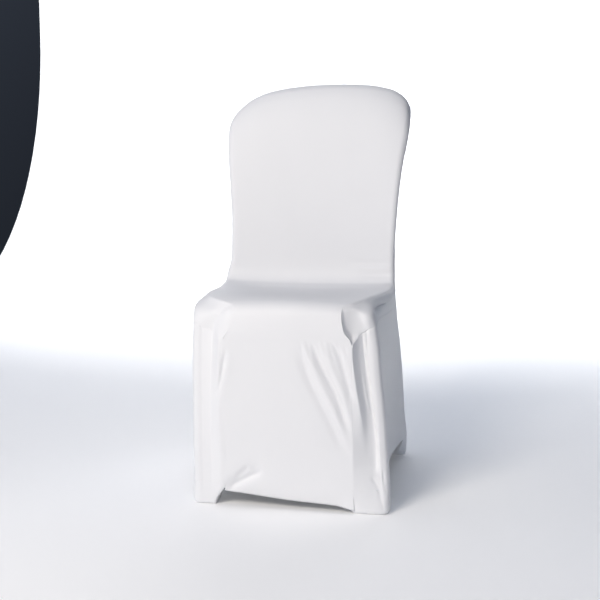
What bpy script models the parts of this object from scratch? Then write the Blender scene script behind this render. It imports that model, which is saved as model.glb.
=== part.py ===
"""Stretch cover for a banquet chair, as it hangs on the chair, which is left out.

The heights in the tables are measured from the floor, +X is the sitter's left seen from the front,
and the front faces -Y. One empty drops the whole cover so that its mount, under the top of the
back, is the origin. Every panel is a grid laid on the form of the cover and given its thickness
by a Solidify modifier.
"""

import math
from collections import namedtuple

import bpy
import numpy as np

# Driving sizes, in metres
CLOTH = 0.0014
SEAM_GAP = 0.0009
TOP_HEIGHT = 0.9035
SEAM_ON_FRONT = 0.137
RIM_RADIUS = 0.013
RIM_TOP_DEPTH = 0.012
RIM_TOP_LEAN = 0.010
RIM_GAP = 0.0016
BACK_DEPTH = 0.030
LEG_RADIUS = 0.020
REAR_LEG_RADIUS = 0.016
SIDE_PULL = 0.018
MOUNT_DEPTH = 0.289
MOUNT_UNDER_TOP = 0.004

# How softly folds begin and end: shares of their own run, and the distance they keep from a seam
FOLD_FADES_IN, FOLD_FADES_OUT, FOLDS_FADE = 0.22, 0.35, 0.012
SIDE_FOLD_OVERRUN, SIDE_FOLD_FADES_IN, SIDE_FOLD_FADES_OUT = 0.12, 0.25, 0.30
SIDE_FOLDS_FROM, SIDE_FOLDS_TO = 0.07, 0.05

# Heights between which the skirt's sides draw in, and up to which the front hem's slope is felt
PULL_TOP, PULL_RUN = 0.38, 0.25
HEM_FELT_TO, HEM_FELT_RUN = 0.20, 0.18

# Grid counts
ROWS_PER_SECTION = 2
FLAT_COLUMNS = 16
REAR_COLUMNS = 12
SIDE_COLUMNS = 22
FRONT_CORNER_COLUMNS = 12
SIDE_ROWS = 15
BAND_COLUMNS = 24
BAND_ROWS = 4
REAR_LOW_ROWS = 9
REAR_JOIN_ROWS = 4
REAR_BACK_ROWS = 13

LEFT, RIGHT = -1, 1

# The long panel from the front hem, over the seat, up to the top of the back: its centre line,
# how far it reaches to each side, how far its edges turn over, how much they stand forward,
# and how much of the rounded top line the row follows.
Section = namedtuple("Section", "place y z left right roll forward dome")
MAIN_SECTIONS = (
    Section("hem", -0.2190, 0.0195, 0.137, 0.141, 0, 0.000, 0.0),
    Section("low skirt", -0.2235, 0.085, 0.137, 0.139, 0, 0.000, 0.0),
    Section("skirt", -0.2290, 0.170, 0.137, 0.138, 0, 0.000, 0.0),
    Section("high skirt", -0.2365, 0.270, 0.137, 0.137, 0, 0.000, 0.0),
    Section("apron edge", -0.2450, 0.362, 0.136, 0.137, 0, 0.000, 0.0),
    Section("apron", -0.2480, 0.395, 0.122, 0.120, 8, -0.001, 0.0),
    Section("lip", -0.2470, 0.424, 0.116, 0.115, 16, -0.003, 0.0),
    Section("lip top", -0.2370, 0.444, 0.118, 0.115, 24, -0.004, 0.0),
    Section("seat front", -0.2180, 0.4535, 0.148, 0.136, 40, -0.005, 0.0),
    Section("front of seat", -0.1850, 0.4560, 0.184, 0.156, 55, -0.003, 0.0),
    Section("seat", -0.1000, 0.4500, 0.204, 0.173, 60, 0.000, 0.0),
    Section("mid seat", 0.0000, 0.4430, 0.207, 0.182, 60, 0.000, 0.0),
    Section("rear seat", 0.1000, 0.4350, 0.209, 0.191, 62, 0.002, 0.0),
    Section("crease", 0.1480, 0.4370, 0.209, 0.194, 64, 0.004, 0.0),
    Section("above crease", 0.1690, 0.4620, 0.205, 0.193, 69, 0.008, 0.0),
    Section("waist", 0.1760, 0.5020, 0.198, 0.192, 72, 0.010, 0.02),
    Section("low back", 0.1900, 0.5800, 0.199, 0.195, 72, 0.011, 0.10),
    Section("mid back", 0.2060, 0.6650, 0.205, 0.200, 72, 0.012, 0.26),
    Section("high back", 0.2240, 0.7550, 0.213, 0.209, 72, 0.010, 0.48),
    Section("shoulder", 0.2400, 0.8300, 0.2155, 0.2195, 72, 0.006, 0.74),
    Section("under top", 0.2560, 0.8750, 0.2115, 0.2230, 72, 0.002, 0.92),
    Section("top", 0.2660, 0.8920, 0.1965, 0.2215, 72, 0.000, 1.0),
)

# Places along the sections: where the front's plane and folds end, where the band starts and ends,
# where the back begins and where the rear panel joins it, above the height at which it parts
# from the skirt.
FRONT_ENDS = 4
PLANE_ENDS = 5
FOLDS_END = 6
BAND_STARTS = 4.30
BAND_ENDS = 15.35
BACK_STARTS = 15
REAR_JOINS = 15.5
REAR_PARTS = 0.395

# How much the top row draws in at each shoulder.
SHOULDER_LEFT, SHOULDER_RIGHT = 0.050, 0.010
ROLL_TURNS = (0.36, 0.68, 0.90, 1.0)
RIM_ROLL = 72
NARROWEST_ROLL = 0.009

# The top seam seen from the front, from the left shoulder to the right one.
TopPoint = namedtuple("TopPoint", "x z")
TOP_LINE = (
    TopPoint(-0.190, 0.8480),
    TopPoint(-0.165, 0.8665),
    TopPoint(-0.118, 0.8860),
    TopPoint(-0.060, 0.8965),
    TopPoint(0.000, 0.9020),
    TopPoint(0.055, 0.9035),
    TopPoint(0.115, 0.9015),
    TopPoint(0.168, 0.8930),
    TopPoint(0.196, 0.8800),
    TopPoint(0.210, 0.8660),
    TopPoint(0.2220, 0.8480),
)

# The skirt's plan at each height: the front panel's plane at its two seams, the front leg ridges
# and the rear corners.
Plan = namedtuple("Plan", "z front_left front_right ridge_left ridge_right ridge_y_left ridge_y_right "
                          "rear_left rear_right rear_y")
PLANS = (
    Plan(0.000, -0.2070, -0.2330, 0.2110, 0.2180, -0.2070, -0.2320, 0.2180, 0.2230, 0.2840),
    Plan(0.045, -0.2130, -0.2290, 0.2110, 0.2170, -0.2070, -0.2240, 0.2180, 0.2220, 0.2780),
    Plan(0.120, -0.2210, -0.2290, 0.2115, 0.2120, -0.2080, -0.2160, 0.2150, 0.2160, 0.2610),
    Plan(0.200, -0.2290, -0.2330, 0.2110, 0.2060, -0.2100, -0.2130, 0.2120, 0.2125, 0.2450),
    Plan(0.290, -0.2365, -0.2390, 0.2100, 0.1970, -0.2130, -0.2150, 0.2080, 0.2060, 0.2290),
    Plan(0.350, -0.2430, -0.2440, 0.2085, 0.1920, -0.2160, -0.2190, 0.2060, 0.2000, 0.2170),
    Plan(0.400, -0.2470, -0.2470, 0.2065, 0.1850, -0.2180, -0.2210, 0.2060, 0.1970, 0.2070),
    Plan(0.440, -0.2420, -0.2420, 0.2050, 0.1800, -0.2100, -0.2100, 0.2050, 0.1945, 0.1980),
    Plan(0.490, -0.2420, -0.2420, 0.2030, 0.1800, -0.2100, -0.2100, 0.1985, 0.1920, 0.1900),
)

# Folds in the front panel: where each valley starts and ends on the panel, its depth and half-width.
# A negative depth is a ridge.
Fold = namedtuple("Fold", "place x0 z0 x1 z1 depth width")
FRONT_FOLDS = (
    Fold("long soft valley", 0.026, 0.352, 0.124, 0.128, 0.0042, 0.011),
    Fold("ridge beside it", 0.040, 0.366, 0.134, 0.150, -0.0030, 0.010),
    Fold("sharp valley", 0.050, 0.368, 0.124, 0.192, 0.0045, 0.008),
    Fold("short valley", 0.092, 0.364, 0.133, 0.250, 0.0030, 0.008),
    Fold("left valley", -0.126, 0.350, -0.134, 0.240, 0.0020, 0.008),
    Fold("pull over the left foot", -0.120, 0.052, -0.060, 0.088, 0.0060, 0.018),
    Fold("crease over the left foot", -0.110, 0.040, -0.068, 0.072, 0.0040, 0.008),
    Fold("under the apron", 0.000, 0.372, 0.110, 0.374, 0.0015, 0.014),
)

# Folds in the side panels: the share of the way from the front seam to the rear one at the top and
# at the bottom of each fold, its heights, depth and half-width as a share of the panel.
SideFold = namedtuple("SideFold", "place side u0 z0 u1 z1 depth width")
SIDE_FOLDS = (
    SideFold("dark valley", RIGHT, 0.055, 0.385, 0.125, 0.185, 0.0070, 0.035),
    SideFold("lower facet", RIGHT, 0.060, 0.230, 0.090, 0.070, 0.0060, 0.060),
    SideFold("leg ridge", RIGHT, 0.215, 0.380, 0.200, 0.080, -0.0035, 0.030),
    SideFold("pull to the pocket", RIGHT, 0.110, 0.110, 0.220, 0.052, 0.0050, 0.030),
    SideFold("valley on the left", LEFT, 0.050, 0.372, 0.110, 0.200, 0.0040, 0.035),
    SideFold("rear pull", RIGHT, 0.900, 0.360, 0.780, 0.100, 0.0030, 0.050),
    SideFold("rear pull", LEFT, 0.890, 0.340, 0.760, 0.120, 0.0030, 0.055),
)

# The lower seam of the seat band, from the tip of the cap on the front to the rear corner, as a
# share of the side panel's width and a height, and how far the band stands out.
BandPoint = namedtuple("BandPoint", "place u z bulge along")
BAND_LINE = (
    BandPoint("tip", 0.000, 0.3620, 0.0002, 0.000),
    BandPoint("front of cap", 0.075, 0.3830, 0.0040, 0.130),
    BandPoint("corner of cap", 0.200, 0.4040, 0.0090, 0.270),
    BandPoint("behind cap", 0.290, 0.4080, 0.0020, 0.380),
    BandPoint("front of side", 0.400, 0.4020, -0.0040, 0.520),
    BandPoint("middle of side", 0.620, 0.3950, -0.0060, 0.700),
    BandPoint("rear of side", 0.860, 0.3880, -0.0030, 0.880),
    BandPoint("rear seam", 1.000, 0.3850, 0.0000, 1.000),
)

# The rear panel below the back: its centre line, hollow at the waist.
RearPoint = namedtuple("RearPoint", "z bulge")
REAR_BULGE = (
    RearPoint(0.020, -0.0060),
    RearPoint(0.200, -0.0080),
    RearPoint(0.400, 0.0040),
    RearPoint(0.500, 0.0100),
    RearPoint(0.700, 0.0060),
    RearPoint(0.900, 0.0000),
)

# Shares of the side panel's width at its two seams, round the leg ridge and at the rear corner.
SIDE_STARTS, SIDE_ENDS = 0.0030, 0.9970
RIDGE_AT, RIDGE_HALF = 0.21, 0.085
REAR_CORNER_AT = 0.96
REAR_SEAM_SHARE = 0.03
FRONT_COLUMN_STEP = 0.0295
REAR_CORNER_COLUMNS = (0.955, 0.972, 0.988)

# The band: how full it is, where it leaves its seams flush, how far it lifts as it stands out, and
# where it starts to be laid along the rear seam.
BAND_FULLNESS, BAND_TIP, BAND_TAIL, BAND_TAPER = 1.0, 0.14, 0.96, 0.22
BAND_LIFT = 0.35
BAND_LAID_FROM = 0.80

# Hem heights along the front, the sides and the rear.
HemPoint = namedtuple("HemPoint", "x z")
FRONT_HEM = (
    HemPoint(-0.137, 0.0345),
    HemPoint(-0.100, 0.0335),
    HemPoint(0.000, 0.0250),
    HemPoint(0.100, 0.0165),
    HemPoint(0.141, 0.0085),
)
SIDE_HEM = 0.0535
REAR_HEM = 0.0250
POCKET_TOP = 0.0505
POCKET_GAP = 0.0004
SIDE_NOTCH_FRONT, SIDE_NOTCH_REAR, SIDE_NOTCH_RUN = 0.425, 0.855, 0.05
REAR_NOTCH_FROM, REAR_NOTCH_RUN, REAR_REACH = 0.110, 0.018, 0.205

# The foot pockets: centre and half sizes in plan.
Pocket = namedtuple("Pocket", "name x y half_x half_y")
POCKETS = (
    Pocket("foot_pocket_front_left", -0.1765, -0.1735, 0.0370, 0.0335),
    Pocket("foot_pocket_front_right", 0.1795, -0.1945, 0.0380, 0.0380),
    Pocket("foot_pocket_rear_left", -0.1850, 0.2620, 0.0320, 0.0215),
    Pocket("foot_pocket_rear_right", 0.1865, 0.2620, 0.0345, 0.0215),
)
POCKET_CELLS = 9
POCKET_FLOOR_ROUND = 0.012
POCKET_FLOOR_ENDS = 3 / POCKET_CELLS
POCKET_WALL_STARTS = 7 / POCKET_CELLS
POCKET_SQUARE = 4.0

FABRIC_WHITE = (0.80, 0.81, 0.83, 1.0)
FABRIC_ROUGHNESS = 0.62


def clear_scene():
    """Take every object of the startup scene away."""
    for obj in list(bpy.data.objects):
        bpy.data.objects.remove(obj, do_unlink=True)


def smooth_share(value):
    """A soft step from 0 to 1."""
    share = min(max(value, 0.0), 1.0)
    return share * share * (3 - 2 * share)


def through(places, values, at):
    """A smooth curve through a table's values, without overshoot between equal ones."""
    places = np.asarray(places, float)
    values = np.asarray(values, float)
    at = min(max(at, places[0]), places[-1])
    slopes = np.diff(values) / np.diff(places)
    turns = np.empty(len(values))
    turns[0], turns[-1] = slopes[0], slopes[-1]
    for i in range(1, len(values) - 1):
        a, b = slopes[i - 1], slopes[i]
        turns[i] = 0.0 if a * b <= 0 else 2 * a * b / (a + b)
    i = min(max(int(np.searchsorted(places, at, side="right")) - 1, 0), len(slopes) - 1)
    step = places[i + 1] - places[i]
    q = (at - places[i]) / step
    start = values[i] * (1 + 2 * q) * (1 - q) ** 2 + turns[i] * step * q * (1 - q) ** 2
    end = values[i + 1] * q * q * (3 - 2 * q) + turns[i + 1] * step * q * q * (q - 1)
    return start + end


def column_of(table, name):
    """One named column of a table."""
    return [getattr(row, name) for row in table]


def at_row(table, key, name, at):
    """One named column of a table, read smoothly at a value of its key column."""
    return through(column_of(table, key), column_of(table, name), at)


def top_height(x):
    """Height of the top seam at x."""
    return at_row(TOP_LINE, "x", "z", x)


def bell(distance, width):
    """1 on a fold's line, falling softly to 0."""
    return math.exp(-((distance / width) ** 2))


def fold_depth(x, z):
    """How far the front panel is pushed in at x and z by its folds."""
    depth = 0.0
    for fold in FRONT_FOLDS:
        run_x, run_z = fold.x1 - fold.x0, fold.z1 - fold.z0
        length = math.hypot(run_x, run_z)
        along = ((x - fold.x0) * run_x + (z - fold.z0) * run_z) / length**2
        across = ((x - fold.x0) * run_z - (z - fold.z0) * run_x) / length
        fade = smooth_share(along / FOLD_FADES_IN) * smooth_share((1 - along) / FOLD_FADES_OUT)
        depth += fold.depth * fade * bell(across, fold.width)
    return depth * smooth_share((SEAM_ON_FRONT - abs(x)) / FOLDS_FADE)


def front_plane(x, z):
    """Depth of the front panel's plane, which leans and is a little twisted."""
    share = (x + SEAM_ON_FRONT) / (2 * SEAM_ON_FRONT)
    left = at_row(PLANS, "z", "front_left", z)
    right = at_row(PLANS, "z", "front_right", z)
    return left + (right - left) * share


def seam_reach(z, side):
    """How far the upright seam on the front stands from the middle."""
    return at_row(MAIN_SECTIONS[:FRONT_ENDS + 1], "z", "right" if side == RIGHT else "left", z)


def main_row(t):
    """The long panel's section at t, counted in sections, as one Section."""
    index = list(range(len(MAIN_SECTIONS)))
    values = [through(index, column_of(MAIN_SECTIONS, name), t) for name in Section._fields[1:]]
    return Section("row", *values)


def main_direction(t):
    """Unit vector (y, z) up along the long panel at t."""
    step = 0.08
    low, high = main_row(t - step), main_row(t + step)
    run_y, run_z = high.y - low.y, high.z - low.z
    length = math.hypot(run_y, run_z)
    return run_y / length, run_z / length


def rim_rounding(angle, over):
    """How full the rim still is, from 1 on the face to 0 on the seam, where side and top meet too."""
    return math.cos(max(angle, over))


def on_main(t, share, turn, lift=0.0):
    """A point of the long panel.

    t counts sections, share runs from -1 at the left edge's roll to 1 at the right one's, turn is
    the share of the edge's roll, and lift is the share of the roll over the top.
    """
    row = main_row(t)
    side = RIGHT if share > 0 else LEFT
    reach = row.right if share > 0 else row.left
    full = math.radians(row.roll)
    angle = full * turn
    if t < FRONT_ENDS:
        reach = seam_reach(row.z, side)
    rolled = RIM_RADIUS * math.sin(full)
    spare = max(NARROWEST_ROLL - rolled, 0.0)
    flat = reach - rolled - spare
    over = lift * math.radians(RIM_ROLL)
    x = side * (flat * abs(share) + RIM_RADIUS * math.sin(angle) + spare * turn)
    x *= 1 - (SHOULDER_LEFT if side == LEFT else SHOULDER_RIGHT) * (1 - math.cos(over))
    drop = RIM_RADIUS * (1 - rim_rounding(angle, over))
    ahead = row.forward * (x / reach) ** 2
    direction = main_direction(t)
    y, z = row.y, row.z
    if t < BACK_STARTS:
        y += direction[1] * (drop - ahead)
        z -= direction[0] * (drop - ahead)
    else:
        y += drop - ahead
    z += (top_height(x) - TOP_HEIGHT) * row.dome
    if lift > 0:
        y += RIM_TOP_LEAN * math.sin(over)
        z += RIM_TOP_DEPTH * math.sin(over)
    return x, y, z


def hem_height(x):
    """Height of the front hem, which runs down from the left foot to the right one."""
    return at_row(FRONT_HEM, "x", "z", x)


def main_point(t, share, turn, lift):
    """A point of the long panel with the front's plane, hem and folds."""
    x, y, z = on_main(t, share, turn, lift)
    below = smooth_share(PLANE_ENDS - t)
    if below > 0:
        hem = hem_height(x)
        foot = MAIN_SECTIONS[0].z
        z += (hem - foot) * smooth_share((HEM_FELT_TO - z) / HEM_FELT_RUN) * below
        y += (front_plane(x, z) - y) * below
    if t < FOLDS_END:
        y += fold_depth(x, z)
    return x, y, z


def share_columns(flat):
    """The columns across a panel as (share, turn): rolled edge, flat middle, rolled edge."""
    left = [(-1.0, turn) for turn in reversed(ROLL_TURNS)]
    middle = [(-1 + 2 * i / flat, 0.0) for i in range(flat + 1)]
    return left + middle + [(1.0, turn) for turn in ROLL_TURNS]


def main_rows():
    """The rows up the long panel as (t, lift)."""
    last = len(MAIN_SECTIONS) - 1
    count = last * ROWS_PER_SECTION
    rows = [(last * i / count, 0.0) for i in range(count + 1)]
    return rows + [(last, turn) for turn in ROLL_TURNS]


def sheet(name, points, collection, parent, flip=False):
    """A cloth panel from a grid of points (rows of equal length), thickened inwards."""
    rows, columns = len(points), len(points[0])
    bpy.ops.object.select_all(action="DESELECT")
    bpy.ops.mesh.primitive_grid_add(x_subdivisions=columns - 1, y_subdivisions=rows - 1, size=1)
    obj = bpy.context.object
    obj.name = name
    obj.data.name = name
    flat = [point for row in points for point in row]
    for vertex, point in zip(obj.data.vertices, flat, strict=True):
        vertex.co = point
    if flip:
        obj.data.flip_normals()
    return finish(obj, collection, parent)


def finish(obj, collection, parent):
    """Give a panel its thickness, its fabric, its collection and its parent."""
    thicken = obj.modifiers.new("Cloth", "SOLIDIFY")
    thicken.thickness = CLOTH
    thicken.offset = -1.0
    thicken.use_even_offset = False
    for face in obj.data.polygons:
        face.use_smooth = True
    obj.data.materials.append(fabric(obj.name))
    for held in list(obj.users_collection):
        held.objects.unlink(obj)
    collection.objects.link(obj)
    obj.parent = parent
    return obj


def fabric(name):
    """White stretch knit, one material for each panel."""
    material = bpy.data.materials.new(f"{name}_fabric")
    material.use_nodes = True
    shader = material.node_tree.nodes["Principled BSDF"]
    shader.inputs["Base Color"].default_value = FABRIC_WHITE
    shader.inputs["Roughness"].default_value = FABRIC_ROUGHNESS
    shader.inputs["Metallic"].default_value = 0.0
    return material


def main_panel(collection, parent):
    """The long panel: front of the skirt, seat and inside of the back."""
    columns = share_columns(FLAT_COLUMNS)
    points = [[main_point(t, share, turn, lift) for share, turn in columns] for t, lift in main_rows()]
    return sheet("main_panel", points, collection, parent)


def plan_corners(z, side):
    """The skirt's plan on one side at a height: front seam, leg ridge and rear corner."""
    end = "right" if side == RIGHT else "left"
    seam_x = side * seam_reach(z, side)
    seam = np.array([seam_x, front_plane(seam_x, z)])
    ridge = np.array([side * at_row(PLANS, "z", f"ridge_{end}", z),
                      at_row(PLANS, "z", f"ridge_y_{end}", z)])
    rear = np.array([side * at_row(PLANS, "z", f"rear_{end}", z), at_row(PLANS, "z", "rear_y", z)])
    return seam, ridge, rear


def rounded(a, corner, b, radius, q):
    """A point on the rounded corner between a and b, q from 0 to 1."""
    start = corner + unit(a - corner) * radius
    end = corner + unit(b - corner) * radius
    return start * (1 - q) ** 2 + corner * 2 * q * (1 - q) + end * q * q


def plan_point(u, z, side):
    """The side panel's plan at share u of its width, from the front seam to the rear corner."""
    seam, ridge, rear = plan_corners(z, side)
    ridge_from, ridge_to = RIDGE_AT - RIDGE_HALF, RIDGE_AT + RIDGE_HALF
    inward = np.array([-side, 0.0])
    if u < ridge_from:
        start = ridge + unit(seam - ridge) * LEG_RADIUS
        return seam + (start - seam) * (u / ridge_from)
    if u < ridge_to:
        return rounded(seam, ridge, rear, LEG_RADIUS, (u - ridge_from) / (ridge_to - ridge_from))
    rear_middle = np.array([0.0, rear[1]])
    start = ridge + unit(rear - ridge) * LEG_RADIUS
    end = rear + unit(ridge - rear) * REAR_LEG_RADIUS
    if u < REAR_CORNER_AT:
        q = (u - ridge_to) / (REAR_CORNER_AT - ridge_to)
        pull = SIDE_PULL * smooth_share((PULL_TOP - z) / PULL_RUN) * math.sin(math.pi * q)
        return start + (end - start) * q + inward * pull
    return rounded(ridge, rear, rear_middle, REAR_LEG_RADIUS, 0.5 * (u - REAR_CORNER_AT) / (1 - REAR_CORNER_AT))


def outward_at(u, z, side):
    """Unit vector in plan that points out of the skirt at u."""
    step = 0.02
    run = plan_point(min(u + step, 1.0), z, side) - plan_point(max(u - step, 0.0), z, side)
    normal = np.array([run[1], -run[0]]) * side
    return normal / np.linalg.norm(normal)


def side_folds(u, z, side):
    """How far the side panel is pushed in by its folds."""
    depth = 0.0
    for fold in SIDE_FOLDS:
        if fold.side != side:
            continue
        along = (fold.z0 - z) / (fold.z0 - fold.z1)
        line = fold.u0 + (fold.u1 - fold.u0) * min(max(along, 0.0), 1.0)
        fade = smooth_share((along + SIDE_FOLD_OVERRUN) / SIDE_FOLD_FADES_IN)
        fade *= smooth_share((1 + SIDE_FOLD_OVERRUN - along) / SIDE_FOLD_FADES_OUT)
        depth += fold.depth * fade * bell(u - line, fold.width)
    return depth


def side_point(u, z, side):
    """A point of the side panel at share u and height z, with its folds."""
    held = smooth_share(u / SIDE_FOLDS_FROM) * smooth_share((1 - u) / SIDE_FOLDS_TO)
    plan = plan_point(u, z, side) - outward_at(u, z, side) * side_folds(u, z, side) * held
    return plan[0], plan[1], z


def side_hem(u):
    """Height of the side panel's lower edge, over the pockets at both ends and between them."""
    front = smooth_share((u - SIDE_NOTCH_FRONT) / SIDE_NOTCH_RUN)
    rear = smooth_share((SIDE_NOTCH_REAR - u) / SIDE_NOTCH_RUN)
    return POCKET_TOP + POCKET_GAP + (SIDE_HEM - POCKET_TOP) * front * rear


def side_columns():
    """Shares across the side panel, closer together round the leg ridge and the rear corner."""
    front = [SIDE_STARTS + i * FRONT_COLUMN_STEP for i in range(FRONT_CORNER_COLUMNS)]
    flat = SIDE_COLUMNS - FRONT_CORNER_COLUMNS - len(REAR_CORNER_COLUMNS)
    step = (REAR_CORNER_COLUMNS[0] - front[-1]) / flat
    middle = [front[-1] + step * (i + 1) for i in range(flat)]
    return front + middle + [*REAR_CORNER_COLUMNS[1:], SIDE_ENDS]


def side_panel(side, collection, parent):
    """One side of the skirt, from the seat band's lower seam to the hem."""
    points = []
    for row in range(SIDE_ROWS + 1):
        share = row / SIDE_ROWS
        line = []
        for u in side_columns():
            low = side_hem(u)
            high = at_row(BAND_LINE, "u", "z", u) - SEAM_GAP
            line.append(side_point(u, low + (high - low) * share, side))
        points.append(line)
    name = "side_panel_right" if side == RIGHT else "side_panel_left"
    return sheet(name, points, collection, parent, flip=side == LEFT)


def unit(vector):
    """The vector at length 1."""
    return vector / np.linalg.norm(vector)


def band_upper(along, side):
    """A point of the band's upper seam, on the long panel's edge, and the way that edge faces."""
    t = BAND_STARTS + (BAND_ENDS - BAND_STARTS) * along
    step, inner = 0.05, 0.97
    edge = np.array(main_point(t, side, 1.0, 0.0))
    ahead = np.array(main_point(t + step, side, 1.0, 0.0))
    behind = np.array(main_point(t - step, side, 1.0, 0.0))
    run = unit(ahead - behind)
    away = edge - np.array(main_point(t, side, inner, 0.0))
    away = unit(away - run * away.dot(run))
    return edge + away * (SEAM_GAP + CLOTH * (1 - flush(along))), away


def flush(along):
    """How far the band leaves its seams flush with the panels beside them: not in its tight ends."""
    return smooth_share(along / BAND_TIP) * smooth_share((BAND_TAIL - along) / BAND_TAPER)


def band_lower(along, side):
    """A point of the band's lower seam, on the side panel's upper edge, and the way down from it."""
    u = at_row(BAND_LINE, "along", "u", along)
    u = min(max(u, SIDE_STARTS), SIDE_ENDS)
    z = at_row(BAND_LINE, "u", "z", u)
    step = 0.004
    low = np.array(side_point(u, z, side))
    below = np.array(side_point(u, z - step, side))
    return low, unit(below - low)


def across_seams(high, leaving, low, arriving, q, pull):
    """A soft curve from one seam to the other that leaves and arrives flush with both."""
    length = np.linalg.norm(low - high) * pull
    start = high * (1 + 2 * q) * (1 - q) ** 2 + leaving * length * q * (1 - q) ** 2
    return start + low * q * q * (3 - 2 * q) + arriving * length * q * q * (q - 1)


def band_ruling(along, q, side):
    """A point between the band's two seams, before it is laid along the rear seam."""
    high, leaving = band_upper(along, side)
    low, arriving = band_lower(along, side)
    point = across_seams(high, leaving, low, arriving, q, BAND_FULLNESS * flush(along))
    u = at_row(BAND_LINE, "along", "u", along)
    outward = unit(np.array([*outward_at(min(u, SIDE_ENDS), low[2], side), BAND_LIFT]))
    bulge = at_row(BAND_LINE, "along", "bulge", along)
    return point + outward * bulge * math.sin(math.pi * q) ** 2


def band_point(along, q, side):
    """A point of the seat band: along from the cap's tip to the rear, q from the upper seam down."""
    point = band_ruling(along, q, side)
    near = smooth_share((along - BAND_LAID_FROM) / (1 - BAND_LAID_FROM))
    if near > 0:
        last = band_ruling(1.0, q, side)
        on_seam = rear_edge(last[2], side) - np.array([0.0, SEAM_GAP + CLOTH, 0.0])
        point = point + (on_seam - last) * near
    return point


def seat_band(side, collection, parent):
    """The band along the seat's side, with its front end as a cap on the corner."""
    rows = []
    for row in range(BAND_ROWS + 1):
        q = row / BAND_ROWS
        rows.append([band_point(column / BAND_COLUMNS, q, side) for column in range(BAND_COLUMNS + 1)])
    name = "seat_band_right" if side == RIGHT else "seat_band_left"
    return sheet(name, rows, collection, parent, flip=side == RIGHT)


def rear_edge(z, side):
    """A point of the rear panel's edge at height z, from the rear leg up to the rim."""
    if z <= REAR_PARTS:
        return np.array(rear_skirt_point(z, side, 1.0))
    low = np.array(rear_skirt_point(REAR_PARTS, side, 1.0))
    high = np.array(rear_back_point(REAR_JOINS, side, 1.0, 0.0))
    return low + (high - low) * (z - REAR_PARTS) / (high[2] - REAR_PARTS)


def rear_back_point(t, share, turn, lift):
    """A point of the rear panel behind the back, mirrored from the long panel about the rim."""
    x, y, z = on_main(t, share, turn, lift)
    row = main_row(t)
    angle = math.radians(row.roll) * turn
    over = lift * math.radians(RIM_ROLL)
    edge = math.cos(math.radians(RIM_ROLL))
    fullness = (rim_rounding(angle, over) - edge) / (1 - edge)
    bulge = at_row(REAR_BULGE, "z", "bulge", z) * (1 - (x / max(row.left, row.right)) ** 2)
    return x, y + RIM_GAP + (BACK_DEPTH + bulge) * fullness, z


def rear_skirt_point(z, share, turn):
    """A point of the rear panel below the back, between the two rear corners."""
    side = RIGHT if share > 0 else LEFT
    _, ridge, rear = plan_corners(z, side)
    middle = np.array([0.0, rear[1]])
    start = rear + unit(middle - rear) * REAR_LEG_RADIUS
    if turn > 0:
        plan = rounded(ridge, rear, middle, REAR_LEG_RADIUS, 1 - 0.5 * turn + REAR_SEAM_SHARE)
    else:
        plan = middle + (start - middle) * abs(share)
    bulge = at_row(REAR_BULGE, "z", "bulge", z) * (1 - share**2)
    return plan[0], plan[1] + bulge * (1 if turn == 0 else 0), z


def rear_hem(share):
    """Height of the rear panel's lower edge, with notches over the two rear pockets."""
    over_pocket = smooth_share((REAR_REACH * abs(share) - REAR_NOTCH_FROM) / REAR_NOTCH_RUN)
    return REAR_HEM + (POCKET_TOP + POCKET_GAP - REAR_HEM) * over_pocket


def rear_panel(collection, parent):
    """The outside of the back and the rear of the skirt."""
    columns = share_columns(REAR_COLUMNS)
    last = len(MAIN_SECTIONS) - 1
    points = []
    for row in range(REAR_LOW_ROWS + 1):
        q = row / REAR_LOW_ROWS
        line = []
        for share, turn in columns:
            low = rear_hem(share)
            line.append(rear_skirt_point(low + (REAR_PARTS - low) * q, share, turn))
        points.append(line)
    seat_line = points[-1]
    back_line = [rear_back_point(REAR_JOINS, share, turn, 0.0) for share, turn in columns]
    for row in range(1, REAR_JOIN_ROWS):
        q = row / REAR_JOIN_ROWS
        points.append([blend(a, b, q) for a, b in zip(seat_line, back_line)])
    for row in range(REAR_BACK_ROWS + 1):
        t = REAR_JOINS + (last - REAR_JOINS) * row / REAR_BACK_ROWS
        points.append([rear_back_point(t, share, turn, 0.0) for share, turn in columns])
    for lift in ROLL_TURNS:
        points.append([rear_back_point(last, share, turn, lift) for share, turn in columns])
    return sheet("rear_panel", points, collection, parent, flip=True)


def blend(a, b, share):
    """A point between a and b."""
    return tuple(p + (q - p) * share for p, q in zip(a, b))


def foot_pocket(pocket, collection, parent):
    """A closed cup of cloth round one foot, open at the top."""
    bpy.ops.mesh.primitive_grid_add(x_subdivisions=POCKET_CELLS, y_subdivisions=POCKET_CELLS, size=2)
    obj = bpy.context.object
    obj.name = pocket.name
    obj.data.name = pocket.name
    for vertex in obj.data.vertices:
        vertex.co = pocket_point(pocket, vertex.co.x, vertex.co.y)
    obj.data.flip_normals()
    return finish(obj, collection, parent)


def pocket_point(pocket, a, b):
    """Bend a square grid into a cup: the middle is its floor and the outer rings are its wall."""
    ring = max(abs(a), abs(b))
    inset, height = 0.0, POCKET_TOP
    if ring < POCKET_WALL_STARTS:
        turn = smooth_turn((ring - POCKET_FLOOR_ENDS) / (POCKET_WALL_STARTS - POCKET_FLOOR_ENDS))
        inset = POCKET_FLOOR_ROUND * (1 - math.sin(turn))
        height = POCKET_FLOOR_ROUND * (1 - math.cos(turn))
    elif ring < 1 - 1e-6:
        height = POCKET_FLOOR_ROUND
    scale = min(ring / POCKET_FLOOR_ENDS, 1.0) / ring
    x, y = a * scale, b * scale
    length = (abs(x) ** POCKET_SQUARE + abs(y) ** POCKET_SQUARE) ** (1 / POCKET_SQUARE)
    soften = max(abs(x), abs(y)) / length
    reach_x, reach_y = pocket.half_x - inset, pocket.half_y - inset
    return pocket.x + x * soften * reach_x, pocket.y + y * soften * reach_y, height


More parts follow.
